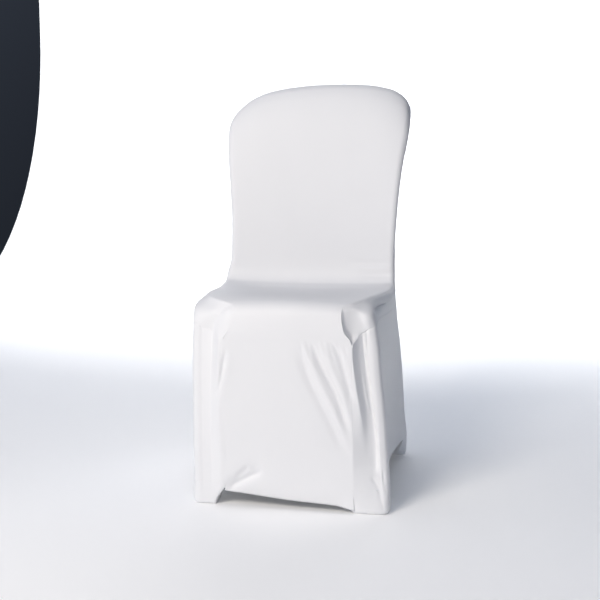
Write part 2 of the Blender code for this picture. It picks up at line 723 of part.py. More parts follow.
def smooth_turn(share):
    """A quarter turn as an angle, for a share from 0 to 1."""
    return min(max(share, 0.0), 1.0) * math.pi / 2


def build():
    """Build the cover in its own collection, hung from one empty."""
    clear_scene()
    collection = bpy.data.collections.new("chair_cover")
    bpy.context.scene.collection.children.link(collection)
    hanger = bpy.data.objects.new("cover_hanger", None)
    hanger.location = (0.0, -MOUNT_DEPTH, MOUNT_UNDER_TOP - TOP_HEIGHT)
    collection.objects.link(hanger)
    main_panel(collection, hanger)
    rear_panel(collection, hanger)
    for side in (LEFT, RIGHT):
        side_panel(side, collection, hanger)
        seat_band(side, collection, hanger)
    for pocket in POCKETS:
        foot_pocket(pocket, collection, hanger)


build()
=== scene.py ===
"""White stretch chair cover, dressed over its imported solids.

Heights and places in the tables are measured from the floor under the cover, +X is to the right of
someone who faces its front, and the front faces -Y. TO_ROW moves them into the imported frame.
"""

import logging
import math
from dataclasses import dataclass
from enum import Enum
from typing import NamedTuple

import bpy
import numpy as np
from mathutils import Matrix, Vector


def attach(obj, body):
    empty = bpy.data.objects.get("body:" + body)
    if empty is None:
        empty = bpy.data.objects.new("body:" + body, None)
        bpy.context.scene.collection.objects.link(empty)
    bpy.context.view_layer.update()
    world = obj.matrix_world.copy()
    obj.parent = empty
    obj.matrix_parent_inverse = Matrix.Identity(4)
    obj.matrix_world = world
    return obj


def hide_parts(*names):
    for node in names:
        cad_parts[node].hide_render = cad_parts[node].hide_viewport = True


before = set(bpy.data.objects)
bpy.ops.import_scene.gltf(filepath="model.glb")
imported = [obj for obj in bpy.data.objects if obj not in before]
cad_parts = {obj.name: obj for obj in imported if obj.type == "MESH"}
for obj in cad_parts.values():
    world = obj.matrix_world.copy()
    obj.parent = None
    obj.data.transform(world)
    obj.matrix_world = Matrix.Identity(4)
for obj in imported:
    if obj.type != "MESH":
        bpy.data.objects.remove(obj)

LOG = logging.getLogger("chair_cover")
TO_ROW = np.array([0.0, -0.289, -0.8995])
BODY = "root"


class Hand(Enum):
    """A side of the cover, with its sign along X."""

    LEFT = -1
    RIGHT = 1

    @property
    def word(self) -> str:
        """The side's name as the panels use it."""
        return self.name.lower()


class End(Enum):
    """An end of the skirt."""

    FRONT = "front"
    REAR = "rear"


class Border(Enum):
    """A border of a panel's grid: its axis, and whether it is the last row or column."""

    FIRST_ROW = (0, False)
    LAST_ROW = (0, True)
    FIRST_COLUMN = (1, False)
    LAST_COLUMN = (1, True)


class Run(Enum):
    """The way that a fold mostly runs on its panel."""

    UP = "up"
    ACROSS = "across"


# The hang of the cover


class Section(NamedTuple):
    """A place along the long panel: its centre, reach, edge roll, edge lead and share of the top line."""

    place: str
    y: float
    z: float
    left: float
    right: float
    roll: float
    forward: float
    dome: float


SECTIONS = (
    Section("hem", -0.2190, 0.0195, 0.137, 0.141, 0, 0.000, 0.0),
    Section("low skirt", -0.2235, 0.085, 0.137, 0.139, 0, 0.000, 0.0),
    Section("skirt", -0.2290, 0.170, 0.137, 0.138, 0, 0.000, 0.0),
    Section("high skirt", -0.2365, 0.270, 0.137, 0.137, 0, 0.000, 0.0),
    Section("apron edge", -0.2450, 0.362, 0.136, 0.137, 0, 0.000, 0.0),
    Section("apron", -0.2480, 0.395, 0.122, 0.120, 8, -0.001, 0.0),
    Section("lip", -0.2470, 0.424, 0.116, 0.115, 16, -0.003, 0.0),
    Section("lip top", -0.2370, 0.444, 0.118, 0.115, 24, -0.004, 0.0),
    Section("seat front", -0.2180, 0.4535, 0.146, 0.136, 40, -0.005, 0.0),
    Section("front of seat", -0.1850, 0.4560, 0.177, 0.156, 58, -0.003, 0.0),
    Section("seat", -0.1000, 0.4500, 0.198, 0.173, 70, 0.000, 0.0),
    Section("mid seat", 0.0000, 0.4430, 0.205, 0.182, 74, 0.000, 0.0),
    Section("rear seat", 0.1000, 0.4350, 0.209, 0.191, 72, 0.002, 0.0),
    Section("crease", 0.1480, 0.4370, 0.209, 0.194, 70, 0.004, 0.0),
    Section("above crease", 0.1690, 0.4620, 0.205, 0.193, 69, 0.008, 0.0),
    Section("waist", 0.1760, 0.5020, 0.198, 0.192, 72, 0.010, 0.02),
    Section("low back", 0.1900, 0.5800, 0.199, 0.195, 72, 0.011, 0.10),
    Section("mid back", 0.2060, 0.6650, 0.205, 0.200, 72, 0.012, 0.26),
    Section("high back", 0.2240, 0.7550, 0.213, 0.209, 72, 0.010, 0.48),
    Section("shoulder", 0.2400, 0.8300, 0.2155, 0.2195, 72, 0.006, 0.74),
    Section("under top", 0.2560, 0.8750, 0.2115, 0.2230, 72, 0.002, 0.92),
    Section("top", 0.2660, 0.8920, 0.1965, 0.2215, 72, 0.000, 1.0),
)


class LinePoint(NamedTuple):
    """A point of a line seen from the front, such as the top seam or the front hem."""

    x: float
    z: float


TOP_LINE = (
    LinePoint(-0.1880, 0.8480),
    LinePoint(-0.165, 0.8668),
    LinePoint(-0.118, 0.8860),
    LinePoint(-0.060, 0.8965),
    LinePoint(0.000, 0.9020),
    LinePoint(0.055, 0.9035),
    LinePoint(0.115, 0.9015),
    LinePoint(0.168, 0.8930),
    LinePoint(0.196, 0.8800),
    LinePoint(0.210, 0.8660),
    LinePoint(0.2190, 0.8480),
)


class EdgePoint(NamedTuple):
    """How far the back's sides stand from its middle at a height near the top."""

    z: float
    left: float
    right: float


SHOULDERS = (
    EdgePoint(0.7284, 0.2130, 0.2090),
    EdgePoint(0.7600, 0.2155, 0.2150),
    EdgePoint(0.7890, 0.2158, 0.2190),
    EdgePoint(0.8080, 0.2135, 0.2208),
    EdgePoint(0.8225, 0.2082, 0.2214),
    EdgePoint(0.8365, 0.1995, 0.2210),
    EdgePoint(0.8480, 0.1880, 0.2190),
)


class Plan(NamedTuple):
    """The skirt's plan at a height: the front at its two seams, the leg ridges and the rear corners."""

    z: float
    front_left: float
    front_right: float
    ridge_left: float
    ridge_right: float
    ridge_y_left: float
    ridge_y_right: float
    rear_left: float
    rear_right: float
    rear_y: float


PLANS = (
    Plan(0.000, -0.2070, -0.2330, 0.2110, 0.2180, -0.2070, -0.2320, 0.2180, 0.2230, 0.2840),
    Plan(0.045, -0.2130, -0.2290, 0.2110, 0.2170, -0.2070, -0.2240, 0.2180, 0.2220, 0.2780),
    Plan(0.120, -0.2210, -0.2290, 0.2115, 0.2120, -0.2080, -0.2160, 0.2150, 0.2160, 0.2610),
    Plan(0.200, -0.2290, -0.2330, 0.2110, 0.2060, -0.2100, -0.2130, 0.2120, 0.2125, 0.2450),
    Plan(0.290, -0.2365, -0.2390, 0.2100, 0.1970, -0.2130, -0.2150, 0.2080, 0.2060, 0.2290),
    Plan(0.350, -0.2430, -0.2440, 0.2085, 0.1920, -0.2160, -0.2190, 0.2060, 0.2000, 0.2170),
    Plan(0.400, -0.2470, -0.2470, 0.2065, 0.1850, -0.2180, -0.2210, 0.2060, 0.1970, 0.2070),
    Plan(0.440, -0.2420, -0.2420, 0.2050, 0.1800, -0.2100, -0.2100, 0.2050, 0.1945, 0.1980),
    Plan(0.490, -0.2420, -0.2420, 0.2030, 0.1800, -0.2100, -0.2100, 0.1985, 0.1920, 0.1900),
)


class Corner(NamedTuple):
    """The corner column at a height: where its front ends, its shelf, its valley and where the leg begins.

    Stand is how far the end of the front keeps to the front's plane, from 0, where the cloth runs
    straight from the seam to the valley, to 1.
    """

    z: float
    break_x: float
    shelf_x: float
    valley_x: float
    leg_x: float
    valley_in: float
    stand: float


CORNERS = {
    Hand.RIGHT: (
        Corner(0.000, 0.1600, 0.1720, 0.1850, 0.1960, 0.0000, 0.0),
        Corner(0.060, 0.1620, 0.1740, 0.1860, 0.1955, 0.0006, 0.0),
        Corner(0.084, 0.1620, 0.1740, 0.1865, 0.1950, 0.0012, 0.0),
        Corner(0.108, 0.1620, 0.1735, 0.1865, 0.1935, 0.0076, 0.0),
        Corner(0.150, 0.1600, 0.1715, 0.1850, 0.1910, 0.0084, 0.10),
        Corner(0.187, 0.1575, 0.1690, 0.1812, 0.1870, 0.0070, 0.45),
        Corner(0.210, 0.1550, 0.1665, 0.1785, 0.1840, 0.0058, 0.75),
        Corner(0.238, 0.1505, 0.1630, 0.1745, 0.1800, 0.0048, 0.95),
        Corner(0.277, 0.1445, 0.1575, 0.1700, 0.1755, 0.0050, 1.0),
        Corner(0.310, 0.1405, 0.1530, 0.1650, 0.1715, 0.0050, 1.0),
        Corner(0.345, 0.1378, 0.1480, 0.1590, 0.1670, 0.0045, 1.0),
        Corner(0.372, 0.1378, 0.1470, 0.1560, 0.1650, 0.0010, 0.9),
        Corner(0.400, 0.1378, 0.1460, 0.1540, 0.1620, -0.0030, 0.6),
    ),
    Hand.LEFT: (
        Corner(0.000, 0.1460, 0.1645, 0.1720, 0.1880, 0.0000, 1.0),
        Corner(0.200, 0.1460, 0.1645, 0.1720, 0.1880, 0.0000, 1.0),
        Corner(0.330, 0.1450, 0.1600, 0.1660, 0.1860, 0.0000, 1.0),
        Corner(0.400, 0.1430, 0.1560, 0.1620, 0.1840, 0.0000, 0.5),
    ),
}


class BandPoint(NamedTuple):
    """A point of the seat band's lower seam: place along, share of the side's width, height, bulges."""

    place: str
    along: float
    u: float
    z: float
    left_bulge: float
    right_bulge: float


BAND_LINE = (
    BandPoint("tip", 0.000, 0.000, 0.3620, 0.0000, 0.0000),
    BandPoint("edge of the front", 0.060, 0.048, 0.3655, 0.0000, 0.0000),
    BandPoint("beside the lip", 0.154, 0.076, 0.3730, 0.0010, 0.0000),
    BandPoint("under the lip's top", 0.244, 0.102, 0.3820, 0.0030, 0.0020),
    BandPoint("front of cap", 0.310, 0.132, 0.3880, 0.0050, 0.0060),
    BandPoint("face of cap", 0.360, 0.158, 0.3935, 0.0060, 0.0130),
    BandPoint("ridge of cap", 0.390, 0.182, 0.3975, 0.0060, 0.0160),
    BandPoint("back of the ridge", 0.415, 0.208, 0.4010, 0.0060, 0.0110),
    BandPoint("corner of cap", 0.450, 0.245, 0.4050, 0.0055, 0.0010),
    BandPoint("behind cap", 0.500, 0.300, 0.4080, 0.0035, -0.0100),
    BandPoint("hollow", 0.580, 0.400, 0.4060, 0.0000, -0.0150),
    BandPoint("middle of side", 0.720, 0.620, 0.3950, -0.0040, -0.0120),
    BandPoint("rear of side", 0.880, 0.860, 0.3880, -0.0030, -0.0040),
    BandPoint("rear seam", 1.000, 1.000, 0.3850, 0.0000, 0.0000),
)


class RearPoint(NamedTuple):
    """How far the rear panel's middle stands out at a height."""

    z: float
    bulge: float


REAR_BULGE = (
    RearPoint(0.020, -0.0060),
    RearPoint(0.200, -0.0080),
    RearPoint(0.400, 0.0040),
    RearPoint(0.500, 0.0100),
    RearPoint(0.700, 0.0060),
    RearPoint(0.900, 0.0000),
)

FRONT_HEM = (
    LinePoint(-0.137, 0.0330),
    LinePoint(-0.100, 0.0285),
    LinePoint(0.000, 0.0195),
    LinePoint(0.100, 0.0145),
    LinePoint(0.141, 0.0085),
)


def soft_step(value: np.ndarray | float) -> np.ndarray:
    """A soft step from 0 to 1.

    Args:
        value: where the step is read, 0 at its foot and 1 at its head.

    Returns:
        The height of the step, from 0 to 1.
    """
    share = np.clip(value, 0.0, 1.0)
    return share * share * (3 - 2 * share)


def passage(
    start: np.ndarray, end: np.ndarray, leave: np.ndarray, arrive: np.ndarray, q: np.ndarray
) -> np.ndarray:
    """A smooth passage between two ends.

    Args:
        start: where it starts.
        end: where it ends.
        leave: its direction and speed at the start.
        arrive: its direction and speed at the end.
        q: share of the way, from 0 to 1.

    Returns:
        The place at that share.
    """
    point = start * (1 + 2 * q) * (1 - q) ** 2 + leave * q * (1 - q) ** 2
    return point + end * q * q * (3 - 2 * q) + arrive * q * q * (q - 1)


def round_corner(start: np.ndarray, corner: np.ndarray, end: np.ndarray, q: np.ndarray | float) -> np.ndarray:
    """A soft bend past a corner.

    Args:
        start: where the bend leaves the first side.
        corner: where the two sides would meet.
        end: where the bend joins the second side.
        q: share of the way, from 0 to 1.

    Returns:
        The place at that share.
    """
    return start * (1 - q) ** 2 + corner * 2 * q * (1 - q) + end * q * q


def unit(vectors: np.ndarray) -> np.ndarray:
    """The vectors at length 1."""
    return vectors / np.maximum(np.linalg.norm(vectors, axis=-1, keepdims=True), 1e-12)


def curve_through(places: np.ndarray, values: np.ndarray, at: np.ndarray) -> np.ndarray:
    """A smooth curve through values at places, without overshoot between equal ones.

    Args:
        places: rising places, one for each value.
        values: an array whose first axis follows the places; the rest is as the places read.
        at: where the curve is read.

    Returns:
        The curve's values, in the shape of at.
    """
    at = np.clip(np.asarray(at, float), places[0], places[-1])
    values = np.asarray(values, float)
    if values.ndim == 1:
        values = np.broadcast_to(values.reshape(-1, *([1] * at.ndim)), (len(values), *at.shape))
    steps = np.diff(places).reshape(-1, *([1] * at.ndim))
    slopes = np.diff(values, axis=0) / steps
    turns = np.empty_like(values)
    turns[0], turns[-1] = slopes[0], slopes[-1]
    a, b = slopes[:-1], slopes[1:]
    same = a * b > 0
    turns[1:-1] = np.where(same, 2 * a * b / np.where(same, a + b, 1.0), 0.0)
    index = np.clip(np.searchsorted(places, at, side="right") - 1, 0, len(places) - 2)

    def pick(table: np.ndarray, shift: int) -> np.ndarray:
        """The table's entry for each place read, shifted along the curve."""
        return np.take_along_axis(table, (index + shift)[None], axis=0)[0]

    step = np.diff(places)[index]
    q = (at - np.asarray(places)[index]) / step
    return passage(pick(values, 0), pick(values, 1), pick(turns, 0) * step, pick(turns, 1) * step, q)


def read(table: tuple[NamedTuple, ...], key: str, name: str, at: np.ndarray) -> np.ndarray:
    """One named column of a table, read smoothly at values of its key column.

    Args:
        table: the rows.
        key: the column that places the rows.
        name: the column that is read.
        at: where it is read.

    Returns:
        The values, in the shape of at.
    """
    places = np.array([getattr(row, key) for row in table])
    return curve_through(places, np.array([getattr(row, name) for row in table]), np.asarray(at, float))


@dataclass(frozen=True)
class FoldLine:
    """A fold pressed into a panel, along a short path.

    The depth is positive into the cloth. The half-widths are those below and above the path's own
    place, and the fade is the length over which each end runs out. The path's points are (place
    along the run, place across it) in metres.
    """

    name: str
    run: Run
    depth: float
    below: float
    above: float
    fade: float
    path: tuple[tuple[float, float], ...]

    def push(self, x: np.ndarray, z: np.ndarray) -> np.ndarray:
        """How far the fold presses the cloth in.

        Args:
            x: places across the cover.
            z: heights, or places along the seat.

        Returns:
            The depth at each place.
        """
        along, across = (z, x) if self.run is Run.UP else (x, z)
        places = np.array([point[0] for point in self.path])
        values = np.array([point[1] for point in self.path])
        line = curve_through(places, values, along)
        slope = (values[-1] - values[0]) / (places[-1] - places[0])
        distance = (across - line) / math.hypot(1.0, slope)
        width = np.where(distance < 0, self.below, self.above)
        ends = soft_step((along - places[0]) / self.fade) * soft_step((places[-1] - along) / self.fade)
        return self.depth * ends * np.exp(-((distance / width) ** 2))


# The folds drawn into the front from its right corner, and the smaller ones round them
FRONT_FOLDS = (
    FoldLine("long soft valley", Run.UP, 0.0048, 0.0110, 0.0085, 0.060, (
        (0.115, 0.1285), (0.184, 0.0989), (0.240, 0.0718), (0.293, 0.0470), (0.365, 0.0225),
    )),
    FoldLine("ridge right of it", Run.UP, -0.0028, 0.0085, 0.0085, 0.055, (
        (0.140, 0.1310), (0.208, 0.1050), (0.268, 0.0775), (0.332, 0.0500), (0.372, 0.0360),
    )),
    FoldLine("sharp valley", Run.UP, 0.0066, 0.0075, 0.0055, 0.045, (
        (0.175, 0.1300), (0.224, 0.1159), (0.271, 0.0972), (0.320, 0.0725), (0.378, 0.0490),
    )),
    FoldLine("ridge right of the sharp one", Run.UP, -0.0024, 0.0065, 0.0075, 0.040, (
        (0.190, 0.1330), (0.216, 0.1290), (0.259, 0.1180), (0.308, 0.0985), (0.376, 0.0700),
    )),
    FoldLine("short valley", Run.UP, 0.0038, 0.0065, 0.0065, 0.030, (
        (0.235, 0.1400), (0.285, 0.1266), (0.343, 0.1102), (0.378, 0.0910),
    )),
    FoldLine("fold on the left", Run.UP, 0.0026, 0.0040, 0.0050, 0.035, (
        (0.225, -0.1550), (0.261, -0.1472), (0.305, -0.1374), (0.356, -0.1285),
    )),
    FoldLine("swell beside it", Run.UP, -0.0010, 0.0080, 0.0100, 0.030, (
        (0.225, -0.1450), (0.305, -0.1270), (0.356, -0.1180),
    )),
    FoldLine("pull over the left foot", Run.ACROSS, 0.0065, 0.0140, 0.0160, 0.030, (
        (-0.150, 0.030), (-0.122, 0.048), (-0.093, 0.068), (-0.050, 0.088),
    )),
    FoldLine("crease over the left foot", Run.ACROSS, 0.0045, 0.0045, 0.0060, 0.018, (
        (-0.132, 0.040), (-0.108, 0.053), (-0.085, 0.066), (-0.052, 0.081),
    )),
    FoldLine("second crease there", Run.ACROSS, 0.0022, 0.0050, 0.0060, 0.015, (
        (-0.120, 0.060), (-0.100, 0.078), (-0.080, 0.094),
    )),
    FoldLine("ledge under the apron", Run.ACROSS, 0.0007, 0.0100, 0.0140, 0.040, (
        (-0.090, 0.3960), (0.000, 0.3940), (0.120, 0.3930),
    )),
    FoldLine("gathers' root", Run.ACROSS, 0.0008, 0.0070, 0.0060, 0.035, (
        (0.000, 0.3780), (0.060, 0.3760), (0.130, 0.3690),
    )),
)


class Gather(NamedTuple):
    """A small gather where the folds spring from the apron: its head, its foot's lean and its depth."""

    x: float
    lean: float
    foot: float
    head: float
    depth: float

    def fold(self) -> FoldLine:
        """The gather as a fold."""
        path = ((self.foot, self.x + self.lean), (self.head, self.x))
        return FoldLine("gather", Run.UP, self.depth, GATHER_HALF, GATHER_HALF, GATHER_FADE, path)


GATHER_HALF = 0.0032
GATHER_FADE = 0.020
GATHER_ROWS = (
    Gather(0.0280, 0.0090, 0.330, 0.378, 0.0006),
    Gather(0.0405, 0.0130, 0.322, 0.382, 0.0009),
    Gather(0.0630, 0.0140, 0.330, 0.376, 0.0010),
    Gather(0.0730, 0.0170, 0.318, 0.383, 0.0006),
    Gather(0.0860, 0.0150, 0.326, 0.379, 0.0010),
    Gather(0.0975, 0.0140, 0.332, 0.374, 0.0007),
    Gather(0.1070, 0.0130, 0.322, 0.380, 0.0010),
    Gather(0.1190, 0.0100, 0.332, 0.373, 0.0007),
)
GATHERS = tuple(row.fold() for row in GATHER_ROWS)

# Gathers under the right cap, and creases over the right front foot down to the floor
CORNER_FOLDS = (
    FoldLine("gather under the cap", Run.UP, 0.0022, 0.0026, 0.0026, 0.030, (
        (0.300, 0.1640), (0.350, 0.1590), (0.398, 0.1555),
    )),
    FoldLine("second gather there", Run.UP, 0.0016, 0.0022, 0.0022, 0.025, (
        (0.325, 0.1700), (0.360, 0.1665), (0.400, 0.1650),
    )),
    FoldLine("small ridge beside the valley", Run.UP, -0.0018, 0.0022, 0.0022, 0.030, (
        (0.205, 0.1745), (0.245, 0.1668), (0.277, 0.1615), (0.315, 0.1570),
    )),
    FoldLine("crease to the toe", Run.UP, 0.0026, 0.0045, 0.0050, 0.012, (
        (0.026, 0.2080), (0.034, 0.2045), (0.060, 0.1905), (0.084, 0.1760),
    )),
    FoldLine("hook beside the leg", Run.UP, 0.0016, 0.0022, 0.0024, 0.012, (
        (0.062, 0.2045), (0.080, 0.2030), (0.098, 0.2010),
    )),
)

# Wrinkles low on the back at the right, where the cover turns round the waist
BACK_FOLDS = (
    FoldLine("waist wrinkle", Run.ACROSS, 0.0020, 0.0045, 0.0060, 0.040, (
        (0.070, 0.487), (0.130, 0.485), (0.200, 0.489),
    )),
    FoldLine("swell under it", Run.ACROSS, -0.0020, 0.0050, 0.0050, 0.040, (
        (0.080, 0.472), (0.140, 0.470), (0.200, 0.474),
    )),
    FoldLine("low wrinkle", Run.ACROSS, 0.0022, 0.0040, 0.0050, 0.035, (
        (0.095, 0.458), (0.150, 0.456), (0.200, 0.459),
    )),
    FoldLine("dimple", Run.ACROSS, 0.0012, 0.0040, 0.0040, 0.010, (
        (-0.026, 0.438), (-0.014, 0.437), (-0.002, 0.438),
    )),
)


class Wave(NamedTuple):
    """A faint wave of the stretched knit: radians a metre each way, phase and relative height."""

    across: float
    along: float
    phase: float
    height: float


WAVES = (
    Wave(31, 17, 0.6, 1.0),
    Wave(-23, 41, 2.1, 1.0),
    Wave(67, 12, 1.1, 0.6),
    Wave(9, -83, 0.3, 0.5),
)

# Shares of the side's width where the points of its plan lie: those round the corner, then the side's
CORNER_PLACES = {
    "seam": 0.0,
    "break": 0.050,
    "shelf": 0.088,
    "valley": 0.122,
    "leg": 0.145,
    "front": 0.175,
    "apex": 0.210,
    "outer": 0.245,
}
SIDE_PLACES = (0.295, 0.42, 0.56, 0.70, 0.84, 0.955)

# How far the middle of a quarter arc stands in from its corner, as a share of the radius
ARC_MIDDLE = 0.293


@dataclass(frozen=True)
class Cap:
    """The right cap's face, which keeps to a nearly flat plane and then falls back to the side.

    Ends and starts are places along the band from its tip, and runs are how far each takes to fade.
    """

    front: float = -0.2400
    falls_from: float = 0.115
    fall_width: float = 0.046
    fall: float = 0.0180
    starts: float = 0.01
    start_run: float = 0.13
    ends: float = 0.40
    end_run: float = 0.07
    straight_ends: float = 0.30
    straight_run: float = 0.10
    top_run: float = 0.10
    foot_run: float = 0.12

    def keeps(self, along: np.ndarray, q: np.ndarray) -> np.ndarray:
        """How far the band keeps to the cap's face.

        Args:
            along: place along the band.
            q: from the upper seam, 0, down to the lower one, 1.

        Returns:
            The share, from 0 to 1.
        """
        down = soft_step(q / self.top_run) * soft_step((1 - q) / self.foot_run)
        back, tip = (self.ends - along) / self.end_run, (along - self.starts) / self.start_run
        return soft_step(back) * soft_step(tip) * down

    def depth(self, x: np.ndarray) -> np.ndarray:
        """The face's place from front to back, across the cap."""
        inner = np.clip((x - self.falls_from) / self.fall_width, 0.0, 1.0)
        return self.front + self.fall * (1 - (1 - inner) ** 2)


@dataclass(frozen=True)
class CoverForm:
    """How the cover hangs: each panel's surface as a function of places on it.

    Places up the long panel are counted in sections. Places round the skirt's side are shares of its
    width, 0 at the front seam and 1 at the rear one. Places along the seat band run from its tip on
    the front, 0, to the rear seam, 1.
    """

    top_height: float = 0.9035
    seam_on_front: float = 0.137
    rim_radius: float = 0.013
    rim_roll: float = 72.0
    rim_depth: float = 0.012
    rim_lean: float = 0.010
    rim_gap: float = 0.0012
    narrowest_roll: float = 0.009
    seat_radius: float = 0.0055
    seat_starts: float = 8.3
    seat_ends: float = 13.6
    seat_run: float = 0.8
    front_seams_end: float = 4.0
    front_ends: float = 5.0
    front_folds_end: float = 6.6
    front_folds_run: float = 0.8
    back_folds_start: float = 12.5
    back_rises: float = 14.0
    back_run: float = 1.2
    back_depth: float = 0.030
    rear_joins: float = 15.5
    rear_parts: float = 0.395
    hem_ends: float = 0.20
    hem_run: float = 0.18
    hem_tuck: float = 0.0060
    hem_tuck_height: float = 0.030
    tuck_fade: float = 0.035
    least_break: float = 0.0007
    least_shelf: float = 0.004
    shelf_drop: float = 0.72
    leg_back: float = 0.0010
    leg_radius: float = 0.016
    rear_radius: float = 0.016
    side_pull: float = 0.018
    side_pull_ends: float = 0.38
    side_pull_run: float = 0.25
    front_folds_reach: float = 0.15
    front_folds_fade: float = 0.08
    corner_folds_reach: float = 0.26
    corner_folds_fade: float = 0.04
    unevenness_depth: float = 0.00035
    unevenness_fade: float = 0.05
    pocket_top: float = 0.0507
    pocket_front_ends: float = 0.40
    pocket_rear_starts: float = 0.88
    pocket_rear_reach: float = 0.66
    band_starts: float = 4.30
    band_ends: float = 15.35
    band_nears_rear: float = 0.80
    band_joins_rear: float = 0.05
    band_behind_rear: float = 0.0012
    band_leaves: float = 0.14
    band_arrives: float = 0.96
    band_arrival: float = 0.22
    band_outward_rise: float = 0.35
    band_step: float = 0.05
    band_inside: float = 0.96
    band_below: float = 0.004
    cap_back_ends: float = 0.36
    cap_back_run: float = 0.11
    cap_back: tuple[float, float, float] = (0.45, 0.80, 0.0)
    cap_back_share: float = 0.75
    cap: Cap = Cap()

    def row(self, t: np.ndarray) -> dict[str, np.ndarray]:
        """The long panel's section at t.

        Args:
            t: place up the panel.

        Returns:
            Each column of the section's table, in the shape of t.
        """
        index = np.arange(len(SECTIONS), dtype=float)
        return {
            name: curve_through(index, np.array([getattr(row, name) for row in SECTIONS]), t)
            for name in Section._fields[1:]
        }

    def direction(self, t: np.ndarray, step: float = 0.10) -> tuple[np.ndarray, np.ndarray]:
        """The way up along the long panel.

        Args:
            t: place up the panel.
            step: how far to either side it is measured.

        Returns:
            The y and z of a unit vector.
        """
        low, high = self.row(t - step), self.row(t + step)
        run_y, run_z = high["y"] - low["y"], high["z"] - low["z"]
        length = np.hypot(run_y, run_z)
        return run_y / length, run_z / length

    def seam_reach(self, z: np.ndarray, right: np.ndarray) -> np.ndarray:
        """How far the upright seam on the front stands from the middle at height z."""
        low = SECTIONS[:5]
        return np.where(right, read(low, "z", "right", z), read(low, "z", "left", z))

    def front_plane(self, x: np.ndarray, z: np.ndarray) -> np.ndarray:
        """Depth of the front's plane, which leans and is a little twisted.

        Args:
            x: places across the cover.
            z: heights.

        Returns:
            The plane's y at each place.
        """
        share = (x + self.seam_on_front) / (2 * self.seam_on_front)
        left, right = read(PLANS, "z", "front_left", z), read(PLANS, "z", "front_right", z)
        return left + (right - left) * share

    def fold_push(self, x: np.ndarray, z: np.ndarray) -> np.ndarray:
        """How far the folds press the front in at x and z."""
        return sum(fold.push(x, z) for fold in (*FRONT_FOLDS, *GATHERS))

    def corner_push(self, x: np.ndarray, z: np.ndarray) -> np.ndarray:
        """How far the folds of the right corner press its cloth in at x and z."""
        return sum(fold.push(x, z) for fold in CORNER_FOLDS)

    def unevenness(self, a: np.ndarray, b: np.ndarray) -> np.ndarray:
        """The slight waviness that stretched knit keeps everywhere, at places a and b on it."""
        wave = sum(row.height * np.sin(row.across * a + row.along * b + row.phase) for row in WAVES)
        return self.unevenness_depth * wave / 2

    def on_long(self, t: np.ndarray, share: np.ndarray, turn: np.ndarray, lift: np.ndarray) -> np.ndarray:
        """Points of the long panel's plain form.

        Args:
            t: place up the panel.
            share: place across it, from -1 to 1 where an edge starts to roll.
            turn: share of the edge's roll.
            lift: share of the roll over the top.

        Returns:
            The points, with x, y and z on the last axis.
        """
        t, share, turn, lift = np.broadcast_arrays(t, share, turn, lift)
        row = self.row(t)
        right = share > 0
        reach = np.where(right, row["right"], row["left"])
        reach = np.where(t < self.front_seams_end, self.seam_reach(row["z"], right), reach)
        full = np.radians(row["roll"])
        angle = full * turn
        on_seat = soft_step((t - self.seat_starts) / self.seat_run)
        on_seat = on_seat * soft_step((self.seat_ends - t) / self.seat_run)
        radius = self.rim_radius + (self.seat_radius - self.rim_radius) * on_seat
        rolled = radius * np.sin(full)
        spare = np.maximum(self.narrowest_roll - rolled, 0.0)
        over = lift * math.radians(self.rim_roll)
        top = np.where(right, TOP_LINE[-1].x, -TOP_LINE[0].x)
        lifted = np.where(lift > 0, self.rim_depth * np.sin(over), 0.0)
        edge_z = row["z"] + (TOP_LINE[0].z - self.top_height) * row["dome"] + lifted
        left_shoulder, right_shoulder = (read(SHOULDERS, "z", name, edge_z) for name in ("left", "right"))
        reach = np.where(edge_z > SHOULDERS[0].z, np.where(right, right_shoulder, left_shoulder), reach)
        x = (reach - rolled - spare) * np.abs(share) + radius * np.sin(angle) + spare * turn
        x = x * np.where(right, 1.0, -1.0)
        drop = radius * (1 - np.cos(np.maximum(angle, over)))
        inward = drop - row["forward"] * (x / reach) ** 2
        run_y, run_z = self.direction(t)
        upright = soft_step((t - self.back_rises) / self.back_run)
        y = row["y"] + inward * (run_z + (1 - run_z) * upright)
        z = row["z"] - inward * run_y * (1 - upright)
        z = z + (read(TOP_LINE, "x", "z", x / reach * top) - self.top_height) * row["dome"]
        y = y + np.where(lift > 0, self.rim_lean * np.sin(over), 0.0)
        return np.stack([x, y, z + lifted], axis=-1)

    def long_panel(self, t: np.ndarray, share: np.ndarray, turn: np.ndarray, lift: np.ndarray) -> np.ndarray:
        """Points of the long panel with the front's plane, hem, folds and wrinkles.

        Args:
            t: place up the panel.
            share: place across it, from -1 to 1 where an edge starts to roll.
            turn: share of the edge's roll.
            lift: share of the roll over the top.

        Returns:
            The points, with x, y and z on the last axis.
        """
        points = self.on_long(t, share, turn, lift)
        x, y, z = points[..., 0], points[..., 1], points[..., 2]
        t = np.broadcast_to(t, x.shape)
        below = soft_step(self.front_ends - t)
        hem = read(FRONT_HEM, "x", "z", x)
        z = z + (hem - SECTIONS[0].z) * soft_step((self.hem_ends - z) / self.hem_run) * below
        y = y + (self.front_plane(x, z) - y) * below
        tuck = np.clip((hem + self.hem_tuck_height - z) / self.hem_tuck_height, 0, 1) ** 2
        y = y + self.hem_tuck * tuck * below * soft_step((self.seam_on_front - np.abs(x)) / self.tuck_fade)
        y = y + self.fold_push(x, z) * soft_step((self.front_folds_end - t) / self.front_folds_run)
        run_y, run_z = self.direction(t)
        push = sum(fold.push(x, z) for fold in BACK_FOLDS) * soft_step(t - self.back_folds_start)
        push = push + self.unevenness(x, z + y)
        return np.stack([x, y + push * run_z, z - push * run_y], axis=-1)

